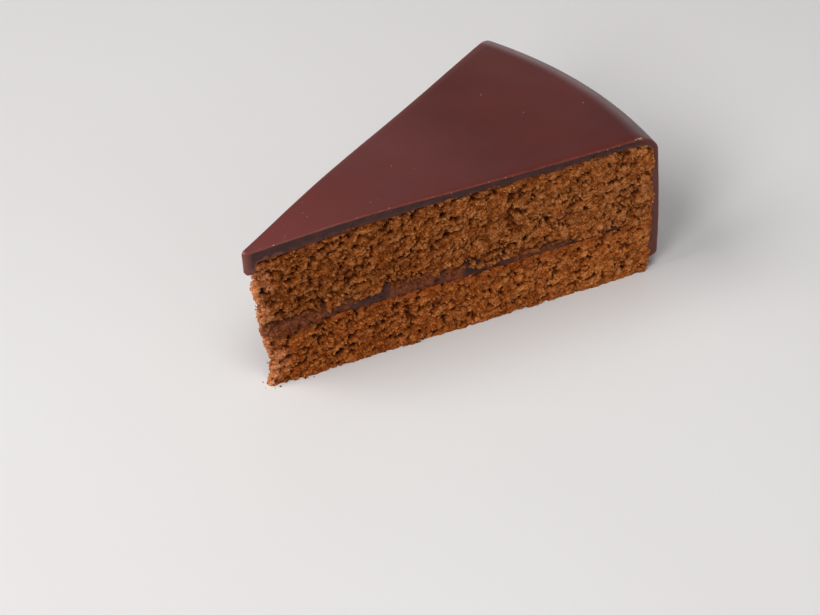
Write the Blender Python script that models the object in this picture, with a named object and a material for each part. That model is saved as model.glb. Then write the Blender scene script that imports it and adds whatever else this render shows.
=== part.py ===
"""A cut slice of Sachertorte: two layers of chocolate sponge, a dark jam filling between them, and a poured chocolate
glaze that covers the top and the outer rim.

Frame: metres, +Z up, the origin in the middle of the slice's footprint on the table. +X runs from the tip of the slice
to its round rim, and the slice is one wedge of a round cake whose axis stands at x = CAKE_AXIS_X, y = 0.
"""

import math

import bmesh
import bpy
from mathutils import Vector

MM = 0.001

# The round cake and the wedge that the knife took from it.
RADIUS = 122.3 * MM
RIM_BULGE = 0.5 * MM
HEIGHT = 46.4 * MM
DOME_RISE = 1.7 * MM
DOME_RADIUS = 36.0 * MM
DOME_SPREAD = 34.0 * MM
WEDGE = math.radians(32.5)

# The glaze: a thick sheet on top that turns over a soft shoulder and ends in a foot above the table.
GLAZE_THIN = 2.3 * MM
GLAZE_TIP_EXTRA = 1.5 * MM
GLAZE_TIP_FADE = 42.0 * MM
GLAZE_TIP_ROUND = 0.9 * MM
TIP_DRIP = 3.2 * MM
TIP_DRIP_REACH = 1.5 * MM
SHOULDER_REACH = 6.4 * MM
SHOULDER_DROP = 5.0 * MM
SHOULDER_POWER = 1.65
SKIRT_TOP_THICKNESS = 2.1 * MM
SKIRT_FOOT_THICKNESS = 3.4 * MM
FOOT_HEIGHT = 4.5 * MM

# The filling: thickest in the inner half, thin towards the rim, and it stops short of the rim.
JAM_BASE = 17.6 * MM
JAM_BASE_WAVE = 0.35 * MM
JAM_FULL = 3.0 * MM
JAM_TIP = 1.6 * MM
JAM_RIM = 0.8 * MM
JAM_FULL_AT = 48.0 * MM
JAM_SPREAD = 30.0 * MM
JAM_RIM_RADIUS = 112.5 * MM
JAM_END_FADE = 3.0 * MM

# The sponge: a crumbled, rounded tip behind the glaze's, and a bottom edge that tucks in.
SPONGE_TIP_ROUND = 1.6 * MM
SPONGE_TIP_SETBACK = 0.3 * MM
SPONGE_TIP_HOLLOW = 1.7 * MM
SPONGE_TIP_HOLLOW_AT = 8.5 * MM
SPONGE_TIP_HOLLOW_SPREAD = 8.0 * MM
SPONGE_TIP_WAVE = 0.3 * MM
SPONGE_FOOT_TUCK = 1.2 * MM
SPONGE_FACE_WAVE = 0.22 * MM

# Touching solids keep this gap.
GAP = 0.3 * MM

# How finely the layers are divided: across from cut to cut, and along from tip to rim, closer at both of those.
ACROSS = 10
ALONG = 24
CROWDING = 0.85
SHOULDER_STEPS = 6
SKIRT_STEPS = 5
GLAZE_STEPS = ALONG + SHOULDER_STEPS + SKIRT_STEPS

# Rows of height in each sponge, as (rise at which the band ends, rows in it): closer under the shoulder and at the foot.
UPPER_BANDS = ((0.86, 5), (1.0, 3))
LOWER_BANDS = ((0.25, 2), (1.0, 4))

# The outline's extremes are the glaze's rounded tip and the bulge of its rim, so the origin lies midway.
GLAZE_TIP_AT = GLAZE_TIP_ROUND / math.sin(WEDGE / 2) - GLAZE_TIP_ROUND
CAKE_AXIS_X = -(RADIUS + RIM_BULGE + GLAZE_TIP_AT) / 2


def smooth_step(value):
    """0 below 0, 1 above 1, and an even S between them."""
    value = min(1.0, max(0.0, value))
    return value * value * (3 - 2 * value)


def top_of_cake(radius):
    """Height of the glaze's top at a distance from the cake's axis: flat near the rim, with a low dome further in."""
    return HEIGHT + DOME_RISE * math.exp(-(((radius - DOME_RADIUS) / DOME_SPREAD) ** 2))


def glaze_thickness(radius):
    """The glaze is thickest towards the middle of the cake, where it was poured."""
    return GLAZE_THIN + GLAZE_TIP_EXTRA * math.exp(-((radius / GLAZE_TIP_FADE) ** 2))


def jam_low(radius):
    """Height of the cut through the cake, where the filling starts."""
    return JAM_BASE + JAM_BASE_WAVE * math.sin(radius / (17 * MM))


def jam_thickness(radius):
    """Thickest at JAM_FULL_AT, and thinner towards the tip and the rim."""
    end = JAM_TIP if radius < JAM_FULL_AT else JAM_RIM
    return end + (JAM_FULL - end) * math.exp(-(((radius - JAM_FULL_AT) / JAM_SPREAD) ** 2))


def upper_base(radius):
    """Height of the upper sponge's underside: on the filling, and down on the lower sponge beyond the filling's end."""
    beyond = smooth_step((radius - JAM_RIM_RADIUS) / JAM_END_FADE)
    return jam_low(radius) + (jam_thickness(radius) + GAP) * (1 - beyond)


def shoulder(share, reach, drop):
    """Radial inset and drop along the shoulder, a superellipse quarter from the flat top (0) to the upright rim (1)."""
    turn = share * math.pi / 2
    power = 2 / SHOULDER_POWER
    return reach * (1 - math.sin(turn) ** power), drop * (1 - math.cos(turn) ** power)


def rim_radius(height):
    """Outer radius of the glazed rim, which bulges a little at half its height."""
    return RADIUS + RIM_BULGE * math.sin(math.pi * min(1.0, max(0.0, height / (HEIGHT - SHOULDER_DROP))))


def skirt_thickness(height):
    """The glaze on the rim ran down before it set, so it is thickest at the foot."""
    share = smooth_step(height / (HEIGHT - SHOULDER_DROP))
    return SKIRT_FOOT_THICKNESS + (SKIRT_TOP_THICKNESS - SKIRT_FOOT_THICKNESS) * share


def wedge_point(along, across, rim, tip_setback, tip_round):
    """Plan position in a wedge with a rounded tip. along runs from the tip to the rim and across from cut to cut."""
    half = WEDGE / 2
    side = 2 * across - 1
    centre = tip_setback + tip_round / math.sin(half)
    turn = side * (math.pi / 2 - half)
    tip = Vector((centre - tip_round * math.cos(turn), tip_round * math.sin(turn)))
    edge = Vector((rim * math.cos(side * half), rim * math.sin(side * half)))
    return tip.lerp(edge, CROWDING * smooth_step(along) + (1 - CROWDING) * along)


def sponge_tip_setback(height):
    """How far the crumbled tip stands back from the cake's axis: hollow near the table, and a little ragged."""
    hollow = SPONGE_TIP_HOLLOW * math.exp(-(((height - SPONGE_TIP_HOLLOW_AT) / SPONGE_TIP_HOLLOW_SPREAD) ** 2))
    return SPONGE_TIP_SETBACK + hollow + SPONGE_TIP_WAVE * math.sin(height / (2.9 * MM))


def sponge_rim(height):
    """Radius of the sponge inside the glaze: under the shoulder, down the rim, and tucked in at the bottom edge."""
    inner = rim_radius(height) - skirt_thickness(height) - GAP
    ceiling = HEIGHT - GLAZE_THIN - GAP
    reach = SHOULDER_REACH - SKIRT_TOP_THICKNESS
    drop = SHOULDER_DROP - GLAZE_THIN
    above = min(1.0, max(0.0, (height - (ceiling - drop)) / drop))
    inner -= reach * (1 - (1 - above**SHOULDER_POWER) ** (1 / SHOULDER_POWER))
    below = max(0.0, 1 - height / FOOT_HEIGHT)
    return inner - SPONGE_FOOT_TUCK * below * below


def sponge_point(low, high):
    """A function of (along, across, rise) for a sponge layer between two surfaces, each a height by radius."""

    def point(along, across, rise):
        nominal = low(RADIUS / 2) + (high(RADIUS / 2) - low(RADIUS / 2)) * rise
        plan = wedge_point(
            along, across, sponge_rim(nominal), sponge_tip_setback(nominal), SPONGE_TIP_ROUND
        )
        radius = plan.length
        height = low(radius) + (high(radius) - low(radius)) * rise
        wave = SPONGE_FACE_WAVE * math.sin(radius / (5.1 * MM) + height / (3.7 * MM))
        plan.y -= wave * (2 * across - 1)
        return Vector((plan.x, plan.y, height))

    return point


def jam_point(along, across, rise):
    """The filling: the same wedge, ending short of the rim, between the two sponges."""
    plan = wedge_point(along, across, JAM_RIM_RADIUS, sponge_tip_setback(JAM_BASE), SPONGE_TIP_ROUND)
    radius = plan.length
    return Vector((plan.x, plan.y, jam_low(radius) + jam_thickness(radius) * rise))


def glaze_point(along, across, rise):
    """The glaze sheet: rise 0 is its inside and 1 its outside. along runs over the top, the shoulder and the skirt."""
    step = round(along * GLAZE_STEPS)
    inside = 1 - rise
    if step <= ALONG:
        rim = RADIUS - SHOULDER_REACH
        share = step / ALONG
        plan = wedge_point(share, across, rim, 0.0, GLAZE_TIP_ROUND)
        radius = plan.length
        drip = TIP_DRIP * smooth_step(1 - (radius - GLAZE_TIP_AT) / TIP_DRIP_REACH)
        height = top_of_cake(radius) - inside * (glaze_thickness(radius) + drip)
        return Vector((plan.x, plan.y, height))
    if step <= ALONG + SHOULDER_STEPS:
        share = (step - ALONG) / SHOULDER_STEPS
        reach = SHOULDER_REACH - inside * SKIRT_TOP_THICKNESS
        inset, fall = shoulder(share, reach, SHOULDER_DROP - inside * GLAZE_THIN)
        rim = RADIUS - inside * SKIRT_TOP_THICKNESS - inset
        height = HEIGHT - inside * GLAZE_THIN - fall
    else:
        share = (step - ALONG - SHOULDER_STEPS) / SKIRT_STEPS
        height = (HEIGHT - SHOULDER_DROP) + (FOOT_HEIGHT - (HEIGHT - SHOULDER_DROP)) * share
        rim = rim_radius(height) - inside * skirt_thickness(height)
    turn = (2 * across - 1) * WEDGE / 2
    return Vector((rim * math.cos(turn), rim * math.sin(turn), height))


def layer(name, point, along, rows, colour, roughness):
    """One closed solid: a grid of along by ACROSS cells at the first row's rise, extruded row by row to the last."""
    mesh = bpy.data.meshes.new(name)
    build = bmesh.new()
    share_along = build.verts.layers.float.new("along")
    share_across = build.verts.layers.float.new("across")
    bmesh.ops.create_grid(build, x_segments=along, y_segments=ACROSS, size=0.5)
    for vertex in build.verts:
        vertex[share_along] = vertex.co.x + 0.5
        vertex[share_across] = vertex.co.y + 0.5
        vertex.co = point(vertex[share_along], vertex[share_across], rows[0])
    sheet = list(build.faces)
    for rise in rows[1:]:
        raised = bmesh.ops.extrude_face_region(build, geom=sheet)["geom"]
        if rise != rows[1]:
            bmesh.ops.delete(build, geom=sheet, context="FACES")
        for vertex in (item for item in raised if isinstance(item, bmesh.types.BMVert)):
            vertex.co = point(vertex[share_along], vertex[share_across], rise)
        sheet = [item for item in raised if isinstance(item, bmesh.types.BMFace)]
    bmesh.ops.recalc_face_normals(build, faces=build.faces)
    build.to_mesh(mesh)
    build.free()
    mesh.shade_smooth()
    mesh.set_sharp_from_angle(angle=math.radians(40))
    piece = bpy.data.objects.new(name, mesh)
    bpy.context.scene.collection.objects.link(piece)
    piece.location.x = CAKE_AXIS_X
    mesh.materials.append(finish(name, colour, roughness))
    return piece


def finish(name, colour, roughness):
    """A plain Principled BSDF in the piece's own colour."""
    material = bpy.data.materials.new(name)
    material.use_nodes = True
    shader = material.node_tree.nodes["Principled BSDF"]
    shader.inputs["Base Color"].default_value = (*colour, 1.0)
    shader.inputs["Roughness"].default_value = roughness
    shader.inputs["Metallic"].default_value = 0.0
    return material


def rises(bands):
    """Shares of the height from 0 to 1, where each band ends at its own share and holds its own count of even rows."""
    found = [0.0]
    for end, rows in bands:
        start = found[-1]
        found += [start + (end - start) * (row + 1) / rows for row in range(rows)]
    return found


def main():
    for thing in list(bpy.data.objects):
        bpy.data.objects.remove(thing)

    def table(radius):
        return 0.0

    def lower_top(radius):
        return jam_low(radius) - GAP

    def upper_top(radius):
        return top_of_cake(radius) - glaze_thickness(radius) - GAP

    layer("lower_sponge", sponge_point(table, lower_top), ALONG, rises(LOWER_BANDS), (0.17, 0.055, 0.018), 0.9)
    layer("jam_filling", jam_point, ALONG, (0.0, 1.0), (0.06, 0.025, 0.02), 0.3)
    layer("upper_sponge", sponge_point(upper_base, upper_top), ALONG, rises(UPPER_BANDS), (0.15, 0.05, 0.017), 0.9)
    layer("chocolate_glaze", glaze_point, GLAZE_STEPS, (0.0, 1.0), (0.1, 0.03, 0.025), 0.35)


if __name__ == "__main__":
    main()
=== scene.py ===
"""Looks of a cut slice of Sachertorte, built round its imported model: crumbly chocolate sponge in two
layers, dark jam between them, a poured chocolate glaze, and the crumbs that the knife left.

All shapes are worked out in millimetres from the round cake's own axis, and moved to the model's frame
in metres when a mesh is made.
"""

from __future__ import annotations

import logging
import math
from collections.abc import Sequence
from dataclasses import dataclass, field
from enum import Enum, IntEnum

import bpy
import numpy as np
from mathutils import Matrix, Vector


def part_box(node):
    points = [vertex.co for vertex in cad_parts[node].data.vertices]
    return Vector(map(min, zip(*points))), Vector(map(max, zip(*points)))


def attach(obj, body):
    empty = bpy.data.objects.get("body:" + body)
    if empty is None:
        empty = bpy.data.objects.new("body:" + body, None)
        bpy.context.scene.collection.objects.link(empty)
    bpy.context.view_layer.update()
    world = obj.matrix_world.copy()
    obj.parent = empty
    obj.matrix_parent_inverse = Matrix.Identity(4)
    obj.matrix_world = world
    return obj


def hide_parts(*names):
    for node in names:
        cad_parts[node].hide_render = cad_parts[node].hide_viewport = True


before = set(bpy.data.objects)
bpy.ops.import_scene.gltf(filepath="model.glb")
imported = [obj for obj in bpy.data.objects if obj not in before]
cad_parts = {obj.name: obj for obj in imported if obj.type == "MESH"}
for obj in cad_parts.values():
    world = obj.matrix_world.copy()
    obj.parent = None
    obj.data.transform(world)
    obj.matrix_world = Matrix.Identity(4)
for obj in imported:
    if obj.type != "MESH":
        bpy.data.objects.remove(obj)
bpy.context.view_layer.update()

LOG = logging.getLogger("sachertorte")
Array = np.ndarray
Socket = bpy.types.NodeSocket
Tree = bpy.types.NodeTree
Colour = tuple[float, float, float, float] | bpy.types.NodeSocket
MM = 0.001
MAP_NAME = "OFBake"
CORNERS = np.array([(x, y, z) for x in (0, 1) for y in (0, 1) for z in (0, 1)])
NEIGHBOURS = np.array([(x, y, z) for x in (-1, 0, 1) for y in (-1, 0, 1) for z in (-1, 0, 1)])
HASH_PRIMES = (73856093, 19349663, 83492791)
HASH_MIXER = 1274126177
BEYOND = 9.0
OVERLAP = 0.1
CREASE_SHARPNESS = 1.7
GRAIN_STRETCH = (0.65, 1.35)
GRAIN_UNEVEN = (0.6, 1.25)
GRAIN_SLANT = (0.31, 0.17)
# Marks a sponge carries: tone, partly painted light; soak; smear; tip, painted light at the thin tip;
# pit, painted shade in recesses.
SPONGE_MARKS = ("tone", "soak", "smear", "tip", "pit")


class Piece(Enum):
    """The layers of the slice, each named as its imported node."""

    GLAZE = "chocolate_glaze"
    UPPER_SPONGE = "upper_sponge"
    JAM = "jam_filling"
    LOWER_SPONGE = "lower_sponge"


@dataclass(frozen=True)
class Box:
    """A part of a piece's map, whose sides run from 0 to 1."""

    left: float
    low: float
    right: float
    high: float


@dataclass(frozen=True)
class Ripple:
    """Waves of one size, in mm.

    The shift, in mm, sets them apart from other waves.
    """

    height: float
    size: float
    shift: float = 0.0


PASTE_CREASES = (Ripple(0.4, 2.4), Ripple(0.3, 1.1))
CRUMB_CREASES = (Ripple(0.62, 3.0), Ripple(0.34, 1.5, 7.0), Ripple(0.24, 0.8, 14.0))
CRUMB_GAPS = (Ripple(0.5, 2.9, 11.0), Ripple(0.42, 1.3, 23.0), Ripple(0.3, 0.6, 5.0))


class Seed(IntEnum):
    """Seeds of the patterns that run through all the layers."""

    RAGGED = 50
    PATCHES = 51
    CREASES = 52
    FLECKS = 54
    TIP = 55
    CRUMBS = 56
    FINE_CRUMBS = 57
    FRAY = 58


class Edge(IntEnum):
    """What a layer adds to its seed for each of its ragged edges."""

    LOWER = 60
    UPPER = 61
    RIM = 62


class Part(Enum):
    """The parts of a layer's surface, each with its own place on the layer's map."""

    NEAR_CUT = Box(0.0, 0.0, 1.0, 0.34)
    FAR_CUT = Box(0.0, 0.35, 1.0, 0.69)
    RIM = Box(0.0, 0.70, 0.92, 0.84)
    TIP = Box(0.93, 0.70, 1.0, 0.84)
    UNDERSIDE = Box(0.0, 0.85, 1.0, 0.92)
    UPPER_SIDE = Box(0.0, 0.93, 1.0, 1.0)


# --------------------------------------------------------------------------------------------------
# Numbers and noise
# --------------------------------------------------------------------------------------------------


def smooth_step(value: Array) -> Array:
    """0 below 0, 1 above 1, and an even S between them.

    Args:
        value: any numbers.

    Returns:
        The S curve's height at each of them.
    """
    value = np.clip(value, 0.0, 1.0)
    return value * value * (3.0 - 2.0 * value)


def mixed(start: Array, end: Array, share: Array) -> Array:
    """Start where share is 0, end where it is 1, and a straight line between them."""
    return start + (end - start) * share


def bell(value: Array, middle: float, spread: float) -> Array:
    """A bell curve: 1 at the middle, and 1 / e at one spread to each side."""
    return np.exp(-(((value - middle) / spread) ** 2))


def rounded(distance: Array, radius: Array) -> Array:
    """How far a corner rounded by a quarter circle falls, by the distance from its edge, all in mm."""
    share = np.clip(1.0 - distance / radius, 0.0, 1.0)
    return radius * (1.0 - np.sqrt(1.0 - share**2))


def from_axis(points: Array) -> Array:
    """Distance from the cake's axis, of points or of places on the plan."""
    return np.linalg.norm(points[..., :2], axis=-1)


def blurred(sheet: Array, reach: tuple[int, int]) -> Array:
    """The running mean of a sheet of numbers, over 2 * reach + 1 cells each way.

    Args:
        sheet: rows by columns.
        reach: cells to each side, by rows and by columns.

    Returns:
        A sheet of the same size.
    """
    for axis, cells in enumerate(reach):
        padding = [(0, 0), (0, 0)]
        padding[axis] = (cells + 1, cells)
        total = np.cumsum(np.pad(sheet, padding, mode="edge"), axis=axis)
        length = sheet.shape[axis]
        ahead = np.take(total, np.arange(length) + 2 * cells + 1, axis=axis)
        sheet = (ahead - np.take(total, np.arange(length), axis=axis)) / (2 * cells + 1)
    return sheet


@dataclass
class Grain:
    """Random numbers on a lattice through the cake, the same each run for the same seed.

    The number of rows is a power of two, so that a mask picks one.
    """

    seed: int
    rows: int = 8192
    table: Array = field(init=False, repr=False)

    def __post_init__(self) -> None:
        """Draws the table that every lattice cell looks its eight numbers up in."""
        self.table = np.random.default_rng(self.seed).random((self.rows, 8))

    def drawn(self, cells: Array) -> Array:
        """Eight numbers from 0 to 1 for each whole-numbered cell.

        Args:
            cells: whole numbers, three to a cell.

        Returns:
            The table's rows, picked by a hash that multiplies each number by a large prime and mixes
            the bits.
        """
        x, y, z = (cells[..., axis] * prime for axis, prime in enumerate(HASH_PRIMES))
        key = x ^ y ^ z
        key = (key ^ (key >> 13)) * HASH_MIXER
        return self.table[(key ^ (key >> 16)) & (self.rows - 1)]

    def waves(self, points: Array, size: float) -> Array:
        """Smooth bumps and dips about one size across.

        Args:
            points: places in mm, three to a point.
            size: lattice spacing in mm.

        Returns:
            Values from -1 to 1: each lattice point's number, blended by a fifth-power fade along every
            axis.
        """
        scaled = points / size
        base = np.floor(scaled).astype(np.int64)
        share = scaled - base
        fade = share**3 * (share * (share * 6.0 - 15.0) + 10.0)
        total = np.zeros(points.shape[:-1])
        for corner in CORNERS:
            weight = np.prod(np.where(corner, fade, 1.0 - fade), axis=-1)
            total += weight * self.drawn(base + corner)[..., 0]
        return 2.0 * total - 1.0

    def lumps(self, points: Array, size: float) -> tuple[Array, Array]:
        """Cells round scattered seeds, as crumbs pack together.

        Args:
            points: places in mm, three to a point.
            size: mean spacing of the seeds in mm.

        Returns:
            Distance to the nearest seed, in sizes, and that seed's number from 0 to 1.
        """
        scaled = points / size
        base = np.floor(scaled).astype(np.int64)
        nearest = np.full(points.shape[:-1], BEYOND)
        tone = np.zeros(points.shape[:-1])
        for offset in NEIGHBOURS:
            cell = base + offset
            random = self.drawn(cell)
            distance = np.linalg.norm(scaled - cell - random[..., :3], axis=-1)
            closer = distance < nearest
            tone = np.where(closer, random[..., 3], tone)
            nearest = np.where(closer, distance, nearest)
        return nearest, tone

    def rippled(self, points: Array, *ripples: Ripple) -> Array:
        """Waves of several sizes, added up."""
        return sum(ripple.height * self.waves(points + ripple.shift, ripple.size) for ripple in ripples)

    def along(self, line: Array, *ripples: Ripple) -> Array:
        """Waves of several sizes along a line, by the place along it in mm."""
        return self.rippled(np.stack([line, np.zeros_like(line), np.zeros_like(line)], -1), *ripples)


def creased(points: Array, grains: Sequence[Grain], ripples: Sequence[Ripple]) -> Array:
    """Folds of soft crumb, one size to each of the grains.

    Args:
        points: places in mm.
        grains: the random numbers.
        ripples: the folds' depth, size and shift in mm.

    Returns:
        Depth in mm: deepest where each size of waves crosses zero, and least at its peaks and dips.
    """
    depth = 0.0
    for grain, ripple in zip(grains, ripples):
        waves = grain.waves(points + ripple.shift, ripple.size)
        depth = depth + ripple.height * (1.0 - CREASE_SHARPNESS * np.abs(waves))
    return depth


@dataclass(frozen=True)
class Pores:
    """Bubbles of one kind that the knife has opened: ellipsoids, in a share of a lattice's cells.

    The spacing, and the least and greatest radius along each axis, are in mm.
    """

    spacing: float
    share: float
    least: tuple[float, float, float]
    greatest: tuple[float, float, float]
    most_are_small: float = 1.7

    def depth(self, grain: Grain, points: Array, inward: Array) -> Array:
        """How far the surface falls back into the bubbles.

        Args:
            grain: the random numbers.
            points: places on the cut in mm.
            inward: unit vectors into the cake.

        Returns:
            The way in mm from each point, straight inward, to the back of the ellipsoid that it stands
            in, or 0.
        """
        base = np.floor(points / self.spacing).astype(np.int64)
        deepest = np.zeros(points.shape[:-1])
        for offset in NEIGHBOURS:
            cell = base + offset
            random = grain.drawn(cell)
            growth = random[..., 3:4] ** self.most_are_small
            radii = mixed(np.array(self.least), np.array(self.greatest), growth)
            place = (points - (cell + random[..., :3]) * self.spacing) / radii
            slope = inward / radii
            a = np.sum(slope * slope, axis=-1)
            b = np.sum(place * slope, axis=-1)
            c = np.sum(place * place, axis=-1) - 1.0
            depth = (np.sqrt(np.maximum(b * b - a * c, 0.0)) - b) / a
            held = (c < 0.0) & (random[..., 4] < self.share)
            deepest = np.maximum(deepest, np.where(held, depth, 0.0))
        return deepest


# --------------------------------------------------------------------------------------------------
# Meshes
# --------------------------------------------------------------------------------------------------


def halves(grid: Array) -> Array:
    """Two triangles for each cell of a grid.

    Args:
        grid: one value or row of values for each point, rows by columns.

    Returns:
        The values at each triangle's corners: triangles by three corners, and then as in the grid.
    """
    a, b, c, d = grid[:-1, :-1], grid[:-1, 1:], grid[1:, 1:], grid[1:, :-1]
    both = np.stack([np.stack([a, b, c], 2), np.stack([a, c, d], 2)])
    return both.reshape(-1, 3, *grid.shape[2:])


def patched(
    grid: Array, box: Box = Box(0.0, 0.0, 1.0, 1.0), closed: bool = False
) -> tuple[Array, Array]:
    """The triangles of a grid of point numbers, and where they lie on the piece's map.

    Args:
        grid: point numbers, rows by columns.
        box: the part of the map that the grid fills, columns along it and rows up it.
        closed: True where the last column joins the first.

    Returns:
        Point numbers, three to a triangle, and map places, two numbers for each of the three corners.
        Triangles with no width are left out.
    """
    if closed:
        grid = np.hstack([grid, grid[:, :1]])
    rows, columns = grid.shape
    along = np.linspace(box.left, box.right, columns)
    across, up = np.meshgrid(along, np.linspace(box.low, box.high, rows))
    found = halves(grid)
    places = halves(np.stack([across, up], -1))
    thin = (found[:, 0] == found[:, 1]) | (found[:, 1] == found[:, 2]) | (found[:, 2] == found[:, 0])
    return found[~thin], places[~thin]


@dataclass
class Skin:
    """A closed surface in the making.

    It holds points in mm from the cake's axis, triangles, what each point carries, and, where the
    surface is too rough to be unwrapped well, a map of its own for the bake.
    """

    points: Array
    triangles: Array
    marks: dict[str, Array] = field(default_factory=dict)
    places: Array | None = None

    def turn_out(self) -> None:
        """Turns the triangles to face outward, so that the volume they enclose is positive."""
        a, b, c = (self.points[self.triangles[:, corner]] for corner in range(3))
        if np.sum(np.cross(a, b) * c) < 0:
            self.triangles = self.triangles[:, ::-1]
            self.places = None if self.places is None else self.places[:, ::-1]

    def piece(self, name: str, axis_x: float) -> bpy.types.Object:
        """Makes the mesh object, with its place in its mesh.

        Args:
            name: the object's name.
            axis_x: where the cake's axis stands along X in the model's frame, in mm.

        Returns:
            The object, linked to the scene and shaded smooth.
        """
        self.turn_out()
        triangles = self.triangles
        mesh = bpy.data.meshes.new(name)
        mesh.vertices.add(len(self.points))
        mesh.vertices.foreach_set("co", ((self.points + (axis_x, 0.0, 0.0)) * MM).ravel())
        mesh.loops.add(triangles.size)
        mesh.loops.foreach_set("vertex_index", triangles.ravel())
        mesh.polygons.add(len(triangles))
        mesh.polygons.foreach_set("loop_start", np.arange(len(triangles)) * 3)
        mesh.polygons.foreach_set("loop_total", np.full(len(triangles), 3))
        mesh.update(calc_edges=True)
        mesh.shade_smooth()
        for label, values in self.marks.items():
            mark = mesh.attributes.new(label, "FLOAT", "POINT")
            mark.data.foreach_set("value", values.astype(np.float32))
        if self.places is not None:
            layer = mesh.uv_layers.new(name=MAP_NAME, do_init=False)
            layer.uv.foreach_set("vector", self.places.astype(np.float32).ravel())
        mesh.validate()
        made = bpy.data.objects.new(name, mesh)
        bpy.context.scene.collection.objects.link(made)
        return made


# --------------------------------------------------------------------------------------------------
# The cake's own form
# --------------------------------------------------------------------------------------------------


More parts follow.
